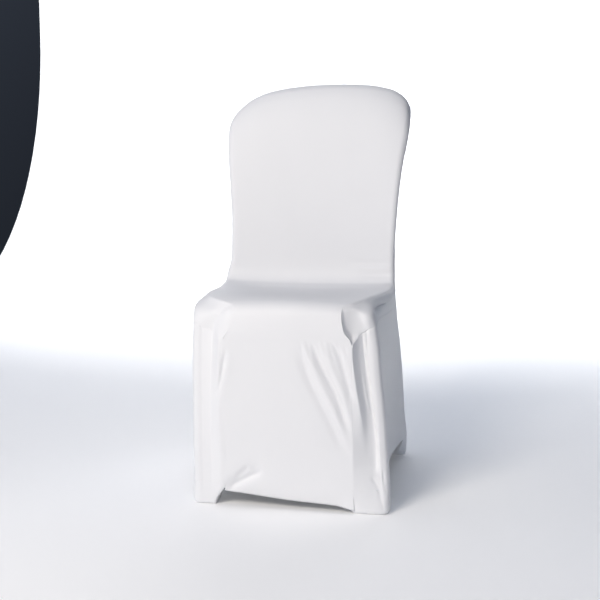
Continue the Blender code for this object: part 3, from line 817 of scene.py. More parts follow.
    def corners(self, z: np.ndarray, hand: Hand) -> tuple[np.ndarray, np.ndarray, np.ndarray]:
        """The skirt's plan on one side.

        Args:
            z: heights.
            hand: the side.

        Returns:
            The front seam, the leg ridge and the rear corner, each with x and y on the last axis.
        """
        end, side = hand.word, hand.value
        seam_x = side * self.seam_reach(z, np.full(np.shape(z), hand is Hand.RIGHT))
        seam = np.stack([seam_x, self.front_plane(seam_x, z)], axis=-1)
        ridge_x, ridge_y = side * read(PLANS, "z", f"ridge_{end}", z), read(PLANS, "z", f"ridge_y_{end}", z)
        ridge = np.stack([ridge_x, ridge_y], axis=-1)
        rear = np.stack([side * read(PLANS, "z", f"rear_{end}", z), read(PLANS, "z", "rear_y", z)], axis=-1)
        return seam, ridge, rear

    def skirt_plan(self, u: np.ndarray, z: np.ndarray, hand: Hand) -> np.ndarray:
        """The side's plan from the front seam round the leg to the rear corner.

        Args:
            u: share of the side's width.
            z: heights.
            hand: the side.

        Returns:
            The points, with x and y on the last axis.
        """
        u, z = np.broadcast_arrays(u, z)
        seam, ridge, rear = self.corners(z, hand)
        side, table = hand.value, CORNERS[hand]
        seam_x, seam_y, leg_y = seam[..., 0], seam[..., 1], ridge[..., 1]
        break_x = side * np.maximum(read(table, "z", "break_x", z), np.abs(seam_x) + self.least_break)
        shelf_x = side * np.maximum(read(table, "z", "shelf_x", z), np.abs(break_x) + self.least_shelf)
        valley_x = side * read(table, "z", "valley_x", z)
        valley_y = leg_y + read(table, "z", "valley_in", z)
        leg_x = side * read(table, "z", "leg_x", z)
        stand = read(table, "z", "stand", z)
        fall = (valley_y - seam_y) / (valley_x - seam_x)
        straight = seam_y + fall * (break_x - seam_x)
        break_y = straight + (self.front_plane(break_x, z) - straight) * stand
        straight = seam_y + fall * (shelf_x - seam_x)
        shelf_y = straight + (break_y + (valley_y - break_y) * self.shelf_drop - straight) * stand
        radius = self.leg_radius
        points = [
            seam,
            np.stack([break_x, break_y], axis=-1),
            np.stack([shelf_x, shelf_y], axis=-1),
            np.stack([valley_x, valley_y], axis=-1),
            np.stack([leg_x, leg_y + self.leg_back], axis=-1),
            ridge + np.array([-side * radius, 0.0]),
            ridge + np.array([-side * radius * ARC_MIDDLE, radius * ARC_MIDDLE]),
            ridge + np.array([0.0, radius]),
        ]
        outer = points[-1]
        last = rear - unit(rear - outer) * self.rear_radius
        for place in SIDE_PLACES:
            q = (place - CORNER_PLACES["outer"]) / (SIDE_PLACES[-1] - CORNER_PLACES["outer"])
            pull = soft_step((self.side_pull_ends - z) / self.side_pull_run) * math.sin(math.pi * q)
            inward = np.array([-side, 0.0]) * (self.side_pull * pull)[..., None]
            points.append(outer + (last - outer) * q + inward)
        middle = np.stack([np.zeros_like(rear[..., 0]), rear[..., 1]], axis=-1)
        points.append(round_corner(last, rear, rear + unit(middle - rear) * self.rear_radius, 0.5))
        places = np.array([*CORNER_PLACES.values(), *SIDE_PLACES, 1.0])
        stack = np.stack(points)
        return np.stack([curve_through(places, stack[..., axis], u) for axis in (0, 1)], axis=-1)

    def hem_plan(self, hand: Hand, end: End) -> np.ndarray:
        """The skirt's plan at the top of one foot pocket.

        Args:
            hand: the side.
            end: the end of the skirt.

        Returns:
            Rows of x and y, in order round the foot.
        """
        if end is End.FRONT:
            front = np.linspace(0.0, self.pocket_front_ends, 161)
            return self.skirt_side(front, self.pocket_top, hand)[:, :2]
        round_rear = np.linspace(self.pocket_rear_starts, 0.999, 60)
        side = self.skirt_plan(round_rear, np.array(self.pocket_top), hand)
        share = hand.value * np.linspace(1.0, self.pocket_rear_reach, 30)
        return np.concatenate([side, self.rear_skirt(self.pocket_top, share, np.zeros_like(share))[:, :2]])

    def outward(self, u: np.ndarray, z: np.ndarray, hand: Hand, step: float = 0.02) -> np.ndarray:
        """The way out of the skirt, in plan.

        Args:
            u: share of the side's width.
            z: heights.
            hand: the side.
            step: how far to either side it is measured.

        Returns:
            Unit vectors, with x and y on the last axis.
        """
        onward, before = np.minimum(u + step, 1), np.maximum(u - step, 0)
        run = self.skirt_plan(onward, z, hand) - self.skirt_plan(before, z, hand)
        return unit(np.stack([run[..., 1], -run[..., 0]], axis=-1) * hand.value)

    def skirt_side(self, u: np.ndarray, z: np.ndarray | float, hand: Hand) -> np.ndarray:
        """Points of the side panel, with its folds.

        Args:
            u: share of the side's width.
            z: heights.
            hand: the side.

        Returns:
            The points, with x, y and z on the last axis.
        """
        u, z = np.broadcast_arrays(np.asarray(u, float), np.asarray(z, float))
        plan = self.skirt_plan(u, z, hand)
        x, y = plan[..., 0], plan[..., 1]
        y = y + self.fold_push(x, z) * soft_step((self.front_folds_reach - u) / self.front_folds_fade)
        if hand is Hand.RIGHT:
            near = soft_step((self.corner_folds_reach - u) / self.corner_folds_fade)
            y = y + self.corner_push(x, z) * near
        out = self.outward(u, z, hand)
        push = self.unevenness(x + y, z)
        push = push * soft_step(u / self.unevenness_fade) * soft_step((1 - u) / self.unevenness_fade)
        return np.stack([x - out[..., 0] * push, y - out[..., 1] * push, z], axis=-1)

    def flush(self, along: np.ndarray) -> np.ndarray:
        """How far the band leaves its seams flush with the panels beside them."""
        return soft_step(along / self.band_leaves) * soft_step((self.band_arrives - along) / self.band_arrival)

    def band(self, along: np.ndarray, q: np.ndarray, hand: Hand) -> np.ndarray:
        """Points of the seat band.

        Args:
            along: place along the band.
            q: from the upper seam, 0, down to the lower one, 1.
            hand: the side.

        Returns:
            The points, with x, y and z on the last axis.
        """
        along, q = np.broadcast_arrays(np.asarray(along, float), np.asarray(q, float))
        point = self.band_ruling(along, q, hand)
        near = soft_step((along - self.band_nears_rear) / (1 - self.band_nears_rear))[..., None]
        last = self.band_ruling(np.ones_like(along), q, hand)
        on_seam = self.rear_edge(last[..., 2], hand) - np.array([0.0, self.band_behind_rear, 0.0])
        return point + (on_seam - last) * near * soft_step(q / self.band_joins_rear)[..., None]

    def band_ruling(self, along: np.ndarray, q: np.ndarray, hand: Hand) -> np.ndarray:
        """Points between the band's two seams, before it is laid along the rear seam.

        Args:
            along: place along the band.
            q: from the upper seam, 0, down to the lower one, 1.
            hand: the side.

        Returns:
            The points, with x, y and z on the last axis.
        """
        side = float(hand.value)
        t = self.band_starts + (self.band_ends - self.band_starts) * along
        one, zero = np.full(t.shape, side), np.zeros(t.shape)
        high = self.long_panel(t, one, zero + 1.0, zero)
        ahead = self.long_panel(t + self.band_step, one, zero + 1.0, zero)
        run = unit(ahead - self.long_panel(t - self.band_step, one, zero + 1.0, zero))
        away = high - self.long_panel(t, one, zero + self.band_inside, zero)
        away = unit(away - run * np.sum(away * run, axis=-1, keepdims=True))
        if hand is Hand.RIGHT:
            # Beside the front the right cap falls back behind the panel's edge.
            fall = soft_step((self.cap_back_ends - along) / self.cap_back_run)[..., None]
            away = unit(away * (1 - self.cap_back_share * fall) + np.array(self.cap_back) * fall)
        u = np.clip(read(BAND_LINE, "along", "u", along), 0.0, 1.0)
        z = read(BAND_LINE, "along", "z", along)
        low = self.skirt_side(u, z, hand)
        down = unit(self.skirt_side(u, z - self.band_below, hand) - low)
        pull = np.linalg.norm(low - high, axis=-1, keepdims=True) * self.flush(along)[..., None]
        p = q[..., None]
        point = passage(high, low, away * pull, down * pull, p)
        out = self.outward(u, z, hand)
        out = unit(np.concatenate([out, np.full(out.shape[:-1] + (1,), self.band_outward_rise)], axis=-1))
        bulge = read(BAND_LINE, "along", f"{hand.word}_bulge", along)[..., None]
        point = point + out * bulge * np.sin(math.pi * p) ** 2
        if hand is Hand.LEFT:
            return point
        straight = high + (low - high) * p
        face = self.cap.keeps(along, q)
        beside = face * soft_step((self.cap.straight_ends - along) / self.cap.straight_run)
        x = point[..., 0] + (straight[..., 0] - point[..., 0]) * beside
        y = point[..., 1] + (self.cap.depth(x) - point[..., 1]) * face
        z = point[..., 2] + (straight[..., 2] - point[..., 2]) * beside
        return np.stack([x, y, z], axis=-1)

    def rear_edge(self, z: np.ndarray, hand: Hand) -> np.ndarray:
        """Points of the rear panel's edge, from the rear leg up to the rim.

        Args:
            z: heights.
            hand: the side.

        Returns:
            The points, with x, y and z on the last axis.
        """
        one = np.ones(np.shape(z))
        skirt = self.rear_skirt(z, one * hand.value, one)
        low = self.rear_skirt(one * self.rear_parts, one * hand.value, one)
        high = self.rear_back(one * self.rear_joins, one * hand.value, one, 0.0)
        share = ((z - self.rear_parts) / (high[..., 2] - self.rear_parts))[..., None]
        return np.where((z <= self.rear_parts)[..., None], skirt, low + (high - low) * share)

    def rear_back(self, t: np.ndarray, share: np.ndarray, turn: np.ndarray, lift: np.ndarray) -> np.ndarray:
        """Points of the rear panel behind the back, mirrored from the long panel about the rim.

        Args:
            t: place up the back.
            share: place across it, from -1 to 1 where an edge starts to roll.
            turn: share of the edge's roll.
            lift: share of the roll over the top.

        Returns:
            The points, with x, y and z on the last axis.
        """
        t, share, turn, lift = np.broadcast_arrays(t, share, turn, lift)
        points = self.on_long(t, share, turn, lift)
        row = self.row(t)
        angle = np.radians(row["roll"]) * turn
        over = lift * math.radians(self.rim_roll)
        edge = math.cos(math.radians(self.rim_roll))
        fullness = (np.cos(np.maximum(angle, over)) - edge) / (1 - edge)
        x, z = points[..., 0], points[..., 2]
        bulge = read(REAR_BULGE, "z", "bulge", z) * (1 - (x / np.maximum(row["left"], row["right"])) ** 2)
        y = points[..., 1] + self.rim_gap + (self.back_depth + bulge) * fullness + self.unevenness(x, z)
        return np.stack([x, y, z], axis=-1)

    def rear_skirt(self, z: np.ndarray | float, share: np.ndarray, turn: np.ndarray) -> np.ndarray:
        """Points of the rear panel below the back, between the two rear corners.

        Args:
            z: heights.
            share: place across, from -1 to 1 where the corners start.
            turn: share of the corner's turn.

        Returns:
            The points, with x, y and z on the last axis.
        """
        z, share, turn = np.broadcast_arrays(np.asarray(z, float), share, turn)
        right = (share > 0)[..., None]
        left_corners, right_corners = self.corners(z, Hand.LEFT), self.corners(z, Hand.RIGHT)
        ridge = np.where(right, right_corners[1], left_corners[1])
        rear = np.where(right, right_corners[2], left_corners[2])
        middle = np.stack([np.zeros_like(rear[..., 0]), rear[..., 1]], axis=-1)
        start = rear + unit(middle - rear) * self.rear_radius
        end = rear + unit(ridge - rear) * self.rear_radius
        corner = round_corner(start, rear, end, (0.5 * turn)[..., None])
        plan = np.where((turn > 0)[..., None], corner, middle + (start - middle) * np.abs(share)[..., None])
        bulge = read(REAR_BULGE, "z", "bulge", z) * (1 - share**2) * (turn == 0)
        return np.stack([plan[..., 0], plan[..., 1] + bulge + self.unevenness(plan[..., 0], z), z], axis=-1)


# The cloth


def linear(hex_value: str) -> tuple[float, float, float, float]:
    """An sRGB hex colour as linear values.

    Args:
        hex_value: six hex digits with a leading hash sign.

    Returns:
        Red, green and blue from 0 to 1 in linear light, and an alpha of 1.
    """
    parts = [int(hex_value[i : i + 2], 16) / 255 for i in (1, 3, 5)]
    red, green, blue = (c / 12.92 if c <= 0.04045 else ((c + 0.055) / 1.055) ** 2.4 for c in parts)
    return red, green, blue, 1.0


def add_node(
    tree: bpy.types.NodeTree, kind: str, settings: dict | None = None, inputs: dict | None = None
) -> bpy.types.Node:
    """Add a shader node.

    Args:
        tree: the material's node tree.
        kind: the node's type.
        settings: its properties by name.
        inputs: values or sockets for its inputs, by name or index.

    Returns:
        The new node.
    """
    node = tree.nodes.new(kind)
    for name, value in (settings or {}).items():
        setattr(node, name, value)
    for key, value in (inputs or {}).items():
        socket = node.inputs[key]
        if isinstance(value, bpy.types.NodeSocket):
            tree.links.new(value, socket)
        else:
            socket.default_value = value
    return node


@dataclass(frozen=True)
class StretchKnit:
    """White polyester and elastane knit: smooth and dense, with a soft satin sheen along its wales.

    The real wales are about half a millimetre apart, which is too fine to show here, so they are
    drawn twice as coarse and very low.
    """

    name: str = "white_stretch_knit"
    face: str = "#F0F0F1"
    roughness: float = 0.58
    sheen: float = 0.20
    sheen_roughness: float = 0.45
    wale_mm: float = 1.1
    course_mm: float = 0.9
    course_share: float = 0.35
    relief_mm: float = 0.05
    relief_strength: float = 0.35

    def make(self) -> bpy.types.Material:
        """Make the material, which reads each panel's own flat places in metres.

        Returns:
            The material.
        """
        material = bpy.data.materials.new(self.name)
        material.use_nodes = True
        tree = material.node_tree
        shader = tree.nodes["Principled BSDF"]
        shader.inputs["Base Color"].default_value = linear(self.face)
        shader.inputs["Roughness"].default_value = self.roughness
        shader.inputs["Sheen Weight"].default_value = self.sheen
        shader.inputs["Sheen Roughness"].default_value = self.sheen_roughness
        places = add_node(tree, "ShaderNodeUVMap", {"uv_map": "knit"})
        split = add_node(tree, "ShaderNodeSeparateXYZ", inputs={0: places.outputs[0]})
        waves = []
        for place, pitch in zip(split.outputs, (self.wale_mm, self.course_mm)):
            pace = 2000 * math.pi / pitch
            angle = add_node(tree, "ShaderNodeMath", {"operation": "MULTIPLY"}, {0: place, 1: pace})
            wave = add_node(tree, "ShaderNodeMath", {"operation": "SINE"}, {0: angle.outputs[0]})
            waves.append(wave.outputs[0])
        wale, course = waves
        both = {0: course, 1: self.course_share, 2: wale}
        loops = add_node(tree, "ShaderNodeMath", {"operation": "MULTIPLY_ADD"}, both)
        relief = {"Strength": self.relief_strength, "Distance": self.relief_mm / 1000}
        bump = add_node(tree, "ShaderNodeBump", inputs={**relief, "Height": loops.outputs[0]})
        tree.links.new(bump.outputs[0], shader.inputs["Normal"])
        return material


@dataclass(frozen=True)
class Cloth:
    """What turns a laid-out surface into a finished panel of the cover."""

    thickness: float = 0.0010
    seam_depth: float = 0.0014
    seam_ease: float = 0.00035
    lap: float = 0.0022
    lap_under: float = 0.0005

    def sew(
        self,
        name: str,
        points: np.ndarray,
        material: bpy.types.Material,
        borders: dict[Border, np.ndarray | float],
        flip: bool,
    ) -> bpy.types.Object:
        """Make a panel: its borders finished, its cloth given its thickness.

        Args:
            name: the panel's name.
            points: its surface, as a grid of rows by columns.
            material: its fabric.
            borders: how far each finished border shows as a seam, from 0 to 1 along it.
            flip: whether the grid faces inwards as laid.

        Returns:
            The finished object.
        """
        points, flat = self.finish_borders(points, borders, -1.0 if flip else 1.0)
        rows, columns = points.shape[:2]
        bpy.ops.object.select_all(action="DESELECT")
        bpy.ops.mesh.primitive_grid_add(x_subdivisions=columns - 1, y_subdivisions=rows - 1, size=1)
        panel = bpy.context.object
        panel.name = panel.data.name = name
        mesh = panel.data
        mesh.vertices.foreach_set("co", (points + TO_ROW).reshape(-1))
        while mesh.uv_layers:
            mesh.uv_layers.remove(mesh.uv_layers[0])
        layer = mesh.uv_layers.new(name="knit")
        corners = np.empty(len(mesh.loops), dtype=np.int64)
        mesh.loops.foreach_get("vertex_index", corners)
        layer.uv.foreach_set("vector", flat.reshape(-1, 2)[corners].astype(np.float32).reshape(-1))
        if flip:
            mesh.flip_normals()
        mesh.update()
        thicken = panel.modifiers.new("Cloth", "SOLIDIFY")
        thicken.thickness = self.thickness
        thicken.offset = -1.0
        bpy.ops.object.modifier_apply(modifier=thicken.name)
        bpy.ops.object.shade_smooth()
        panel.data.materials.append(material)
        return panel

    def finish_borders(
        self, points: np.ndarray, borders: dict[Border, np.ndarray | float], facing: float
    ) -> tuple[np.ndarray, np.ndarray]:
        """Add a narrow strip at each finished border.

        Where the border shows as a seam the strip turns in, and elsewhere it runs on smoothly, just
        under the next panel.

        Args:
            points: the surface's grid.
            borders: how far each border shows as a seam, from 0 to 1 along it.
            facing: 1 where the grid's own normals point out, -1 where they point in.

        Returns:
            The points and their flat places, with the strips added.
        """
        points, flat = points.copy(), flat_places(points)
        normals = unit(np.cross(np.gradient(points, axis=1), np.gradient(points, axis=0))) * facing
        for border, shows in borders.items():
            axis, last = border.value
            take = [slice(None), slice(None)]
            take[axis] = slice(-1, None) if last else slice(0, 1)
            inner = [slice(None), slice(None)]
            inner[axis] = slice(-2, -1) if last else slice(1, 2)
            edge, normal = points[tuple(take)], normals[tuple(take)]
            shown = self.along_border(shows, edge.shape[1 - axis])
            shown = np.expand_dims(shown, (axis, 2))
            onward = unit(edge - points[tuple(inner)])
            points[tuple(take)] = edge - normal * self.seam_ease * shown
            strip = points[tuple(take)] - normal * (self.seam_depth * shown + self.lap_under * (1 - shown))
            strip = strip + onward * self.lap * (1 - shown)
            order = (points, strip) if last else (strip, points)
            places = (flat, flat[tuple(take)]) if last else (flat[tuple(take)], flat)
            facings = (normals, normal) if last else (normal, normals)
            points, flat, normals = (np.concatenate(pair, axis=axis) for pair in (order, places, facings))
        return points, flat

    def along_border(self, shows: np.ndarray | float, count: int) -> np.ndarray:
        """How far a border shows as a seam, for each point of it.

        Args:
            shows: one value for the whole border, or a value for each point that it had when laid.
            count: how many points it has by now, with the strips of its neighbours.

        Returns:
            A value for each of the points.
        """
        if np.ndim(shows) == 0:
            return np.full(count, float(shows))
        spare = count - len(shows)
        return np.pad(np.asarray(shows, float), (spare // 2, spare - spare // 2), mode="edge")


def flat_places(points: np.ndarray) -> np.ndarray:
    """Each point's place on the flat cloth, from the distances along its row and column.

    Args:
        points: the surface's grid.

    Returns:
        The places in metres, across the cloth and along it.
    """
    across = np.linalg.norm(np.diff(points, axis=1), axis=-1)
    along = np.linalg.norm(np.diff(points, axis=0), axis=-1)
    middle = points.shape[1] // 2
    u = np.concatenate([np.zeros((points.shape[0], 1)), np.cumsum(across, axis=1)], axis=1)
    u = u - u[:, middle : middle + 1]
    v = np.concatenate([[0.0], np.cumsum(along.mean(axis=1))])
    return np.stack([u, np.broadcast_to(v[:, None], u.shape)], axis=-1)


def across_panel(flat: np.ndarray, roll_columns: int) -> tuple[np.ndarray, np.ndarray]:
    """Places across a panel whose two edges roll over.

    Args:
        flat: the places between the rolls, from -1 to 1.
        roll_columns: how many columns each roll has.

    Returns:
        The share across and the share of the edge's roll, for each column.
    """
    turns = np.linspace(0, 1, roll_columns + 1)[1:]
    share = np.concatenate([np.full(roll_columns, -1.0), flat, np.full(roll_columns, 1.0)])
    return share, np.concatenate([turns[::-1], np.zeros(len(flat)), turns])


def hang(panel: bpy.types.Object, node: str) -> None:
    """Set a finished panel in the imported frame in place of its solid.

    Args:
        panel: the panel.
        node: the solid that it stands for.
    """
    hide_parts(node)
    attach(panel, BODY)
    LOG.info("%s: %d faces", panel.name, len(panel.data.polygons))


class SeamPoint(NamedTuple):
    """How far the long panel's side seams show, by the place up the panel."""

    t: float
    left: float
    right: float


SEAMS = (
    SeamPoint(0.0, 0.10, 0.10),
    SeamPoint(0.5, 0.10, 0.20),
    SeamPoint(1.2, 0.10, 0.50),
    SeamPoint(3.0, 0.05, 0.60),
    SeamPoint(4.3, 0.00, 0.70),
    SeamPoint(6.4, 0.00, 0.90),
    SeamPoint(7.0, 0.00, 0.30),
    SeamPoint(7.4, 0.00, 0.00),
    SeamPoint(9.0, 0.10, 0.00),
    SeamPoint(9.8, 0.70, 0.40),
    SeamPoint(15.0, 0.80, 0.80),
    SeamPoint(21.0, 0.80, 0.80),
)

# How far the other seams show
PLAIN_SEAM = 0.8


@dataclass
class LongPanel:
    """The long panel: front of the skirt, seat and inside of the back, in one length of cloth."""

    form: CoverForm
    cloth: Cloth
    flat: tuple[float, float] = (0.46, 1.46)
    area: float = 0.54
    hem_seam: float = 1.0
    top_seam: float = 0.7
    samples: int = 2000
    row_step: float = 0.0048
    crowd_below: float = 0.38
    crowding: float = 1.35
    left_columns: int = 40
    right_columns: int = 64
    roll_columns: int = 9
    rim_rows: int = 9

    def build(self, material: bpy.types.Material) -> bpy.types.Object:
        """Lay the panel out and sew it.

        Args:
            material: its fabric.

        Returns:
            The finished panel.
        """
        t = self.rows()
        lift = np.concatenate([np.zeros(len(t)), np.linspace(0, 1, self.rim_rows + 1)[1:]])
        t = np.concatenate([t, np.full(self.rim_rows, t[-1])])
        left, right = np.linspace(-1, 0, self.left_columns + 1), np.linspace(0, 1, self.right_columns + 1)
        share, turn = across_panel(np.concatenate([left, right[1:]]), self.roll_columns)
        points = self.form.long_panel(t[:, None], share[None], turn[None], lift[:, None])
        borders = {
            Border.FIRST_COLUMN: read(SEAMS, "t", "left", t),
            Border.LAST_COLUMN: read(SEAMS, "t", "right", t),
            Border.FIRST_ROW: self.hem_seam,
            Border.LAST_ROW: self.top_seam,
        }
        panel = self.cloth.sew("long_panel", points, material, borders, False)
        hang(panel, "main_panel")
        return panel

    def rows(self) -> np.ndarray:
        """Places up the panel, evenly spaced along it and closer on the folds of the front.

        Returns:
            The places, counted in sections.
        """
        t = np.linspace(0, len(SECTIONS) - 1, self.samples)
        row = self.form.row(t)
        step = np.hypot(np.diff(row["y"]), np.diff(row["z"]))
        folded = (row["z"][1:] < self.crowd_below) & (t[1:] < self.form.front_ends)
        length = np.concatenate([[0.0], np.cumsum(step * np.where(folded, self.crowding, 1.0))])
        count = int(length[-1] / self.row_step)
        return np.interp(np.linspace(0, length[-1], count), length, t)


@dataclass
class RearPanel:
    """The outside of the back and the rear of the skirt."""

    form: CoverForm
    cloth: Cloth
    flat: tuple[float, float] = (0.46, 0.92)
    area: float = 0.39
    hem: float = 0.0250
    notch_from: float = 0.110
    notch_run: float = 0.018
    reach: float = 0.205
    join_lead: float = 0.9
    columns: int = 72
    roll_columns: int = 8
    low_rows: int = 60
    join_rows: int = 24
    back_rows: int = 60
    rim_rows: int = 8

    def build(self, material: bpy.types.Material) -> bpy.types.Object:
        """Lay the panel out and sew it.

        Args:
            material: its fabric.

        Returns:
            The finished panel.
        """
        form = self.form
        share, turn = across_panel(np.linspace(-1, 1, self.columns + 1), self.roll_columns)
        share, turn = share[None], turn[None]
        over_pocket = soft_step((self.reach * np.abs(share) - self.notch_from) / self.notch_run)
        low = self.hem + (form.pocket_top - self.hem) * over_pocket
        q = np.linspace(0, 1, self.low_rows + 1)[:, None]
        skirt = form.rear_skirt(low + (form.rear_parts - low) * q, share, turn)
        t = np.linspace(form.rear_joins, len(SECTIONS) - 1, self.back_rows + 1)[:, None]
        back = form.rear_back(t, share, turn, np.zeros_like(t))
        lift = np.linspace(0, 1, self.rim_rows + 1)[1:, None]
        rim = form.rear_back(np.full_like(lift, t[-1, 0]), share, turn, lift)
        q = np.linspace(0, 1, self.join_rows + 1)[1:-1, None, None]
        start, end = skirt[-1][None], back[0][None]
        rise = (end - start) * self.join_lead
        points = np.concatenate([skirt, passage(start, end, rise, rise, q), back, rim])
        borders = {border: PLAIN_SEAM for border in Border}
        panel = self.cloth.sew("back_panel", points, material, borders, True)
        hang(panel, "rear_panel")
        return panel


class HemPoint(NamedTuple):
    """A point of the side's hem: share of the side's width, and height."""

    u: float
    z: float


SIDE_HEM = (
    HemPoint(0.425, 0.0515),
    HemPoint(0.560, 0.0605),
    HemPoint(0.700, 0.0545),
    HemPoint(0.800, 0.0500),
    HemPoint(0.880, 0.0495),
)


@dataclass
class SidePanel:
    """One side of the skirt, round the front leg and back to the rear corner.

    The left one's seam under the cap shows only from seam_starts on.
    """

    form: CoverForm
    cloth: Cloth
    hand: Hand
    flat: tuple[float, float] = (0.60, 0.36)
    area: float = 0.19
    left_front_seam: float = 0.1
    right_front_seam: float = 0.6
    seam_starts: float = 0.28
    seam_run: float = 0.15
    notch_front: float = 0.425
    notch_rear: float = 0.875
    notch_run: float = 0.05
    corner_ends: float = 0.30
    corner_columns: int = 96
    side_columns: int = 56
    rows: int = 110

    def build(self, material: bpy.types.Material) -> bpy.types.Object:
        """Lay the panel out and sew it.

        Args:
            material: its fabric.

        Returns:
            The finished panel.
        """
        corner = np.linspace(0, self.corner_ends, self.corner_columns + 1)
        u = np.concatenate([corner, np.linspace(self.corner_ends, 1.0, self.side_columns + 1)[1:]])[None]
        front = soft_step((u - self.notch_front) / self.notch_run)
        rear = soft_step((self.notch_rear - u) / self.notch_run)
        low = self.form.pocket_top + (read(SIDE_HEM, "u", "z", u) - self.form.pocket_top) * front * rear
        high = read(BAND_LINE, "u", "z", u)
        q = np.linspace(0, 1, self.rows + 1)[:, None]
        points = self.form.skirt_side(u, low + (high - low) * q, self.hand)
        right = self.hand is Hand.RIGHT
        starts = 1.0 if right else soft_step((u[0] - self.seam_starts) / self.seam_run)
        borders = {
            Border.FIRST_COLUMN: self.right_front_seam if right else self.left_front_seam,
            Border.LAST_COLUMN: PLAIN_SEAM,
            Border.FIRST_ROW: PLAIN_SEAM * front[0] * rear[0],
            Border.LAST_ROW: PLAIN_SEAM * starts,
        }
        panel = self.cloth.sew(f"skirt_side_{self.hand.word}", points, material, borders, not right)
        hang(panel, f"side_panel_{self.hand.word}")
        return panel


@dataclass
class SeatBand:
    """The band along the seat's side, whose front end is the cap on the corner."""

    form: CoverForm
    cloth: Cloth
    hand: Hand
    flat: tuple[float, float] = (0.56, 0.12)
    area: float = 0.034
    columns: int = 150
    rows: int = 26
    even_ends: float = 0.50
    even_run: float = 0.10
    even_share: float = 0.6
    evenings: int = 26
    upper_seam_starts: float = 0.30
    upper_seam_run: float = 0.06
    left_seam_starts: float = 0.48
    right_seam_starts: float = 0.15
    lower_seam_run: float = 0.12
    tip_seam: float = 0.2

    def build(self, material: bpy.types.Material) -> bpy.types.Object:
        """Lay the band out and sew it.

        Args:
            material: its fabric.

        Returns:
            The finished band.
        """
        along = np.linspace(0, 1, self.columns + 1)
        q = np.linspace(0, 1, self.rows + 1)[:, None]
        points = self.even(self.form.band(along[None], q, self.hand), along)
        t = self.form.band_starts + (self.form.band_ends - self.form.band_starts) * along
        upper = read(SEAMS, "t", self.hand.word, t)
        upper = upper * soft_step((along - self.upper_seam_starts) / self.upper_seam_run)
        right = self.hand is Hand.RIGHT
        starts, least = (self.right_seam_starts, self.tip_seam) if right else (self.left_seam_starts, 0.0)
        lower = least + (PLAIN_SEAM - least) * soft_step((along - starts) / self.lower_seam_run)
        borders = {Border.FIRST_ROW: upper, Border.LAST_COLUMN: 0.0, Border.LAST_ROW: lower}
        panel = self.cloth.sew(f"corner_band_{self.hand.word}", points, material, borders, right)
        hang(panel, f"seat_band_{self.hand.word}")
        return panel

    def even(self, points: np.ndarray, along: np.ndarray) -> np.ndarray:
        """Even out the cap as stretched knit does, with the band's seams held where they are.

        Args:
            points: the band's grid.
            along: each column's place along the band.

        Returns:
            The points, evened where the cap is.
        """
        points = points.copy()
        share = self.even_share * soft_step((self.even_ends - along[1:-1]) / self.even_run)[None, :, None]
        for _ in range(self.evenings):
            inner = points[1:-1, 1:-1]
            beside = points[:-2, 1:-1] + points[2:, 1:-1] + points[1:-1, :-2] + points[1:-1, 2:]
            points[1:-1, 1:-1] = inner + (beside / 4 - inner) * share
        return points


class Foot(NamedTuple):
    """A foot of the cover: its side and end, its middle and half sizes on the floor, and its slant.

    The slant is how far the inner side moves out towards the floor, where the hem pulls it across.
    """

    hand: Hand
    end: End
    x: float
    y: float
    half_x: float
    half_y: float
    slant: float


FEET = (
    Foot(Hand.LEFT, End.FRONT, -0.1765, -0.1735, 0.0370, 0.0335, 0.022),
    Foot(Hand.RIGHT, End.FRONT, 0.1745, -0.1945, 0.0430, 0.0380, 0.000),
    Foot(Hand.LEFT, End.REAR, -0.1850, 0.2620, 0.0320, 0.0215, 0.006),
    Foot(Hand.RIGHT, End.REAR, 0.1865, 0.2620, 0.0345, 0.0215, 0.006),
)


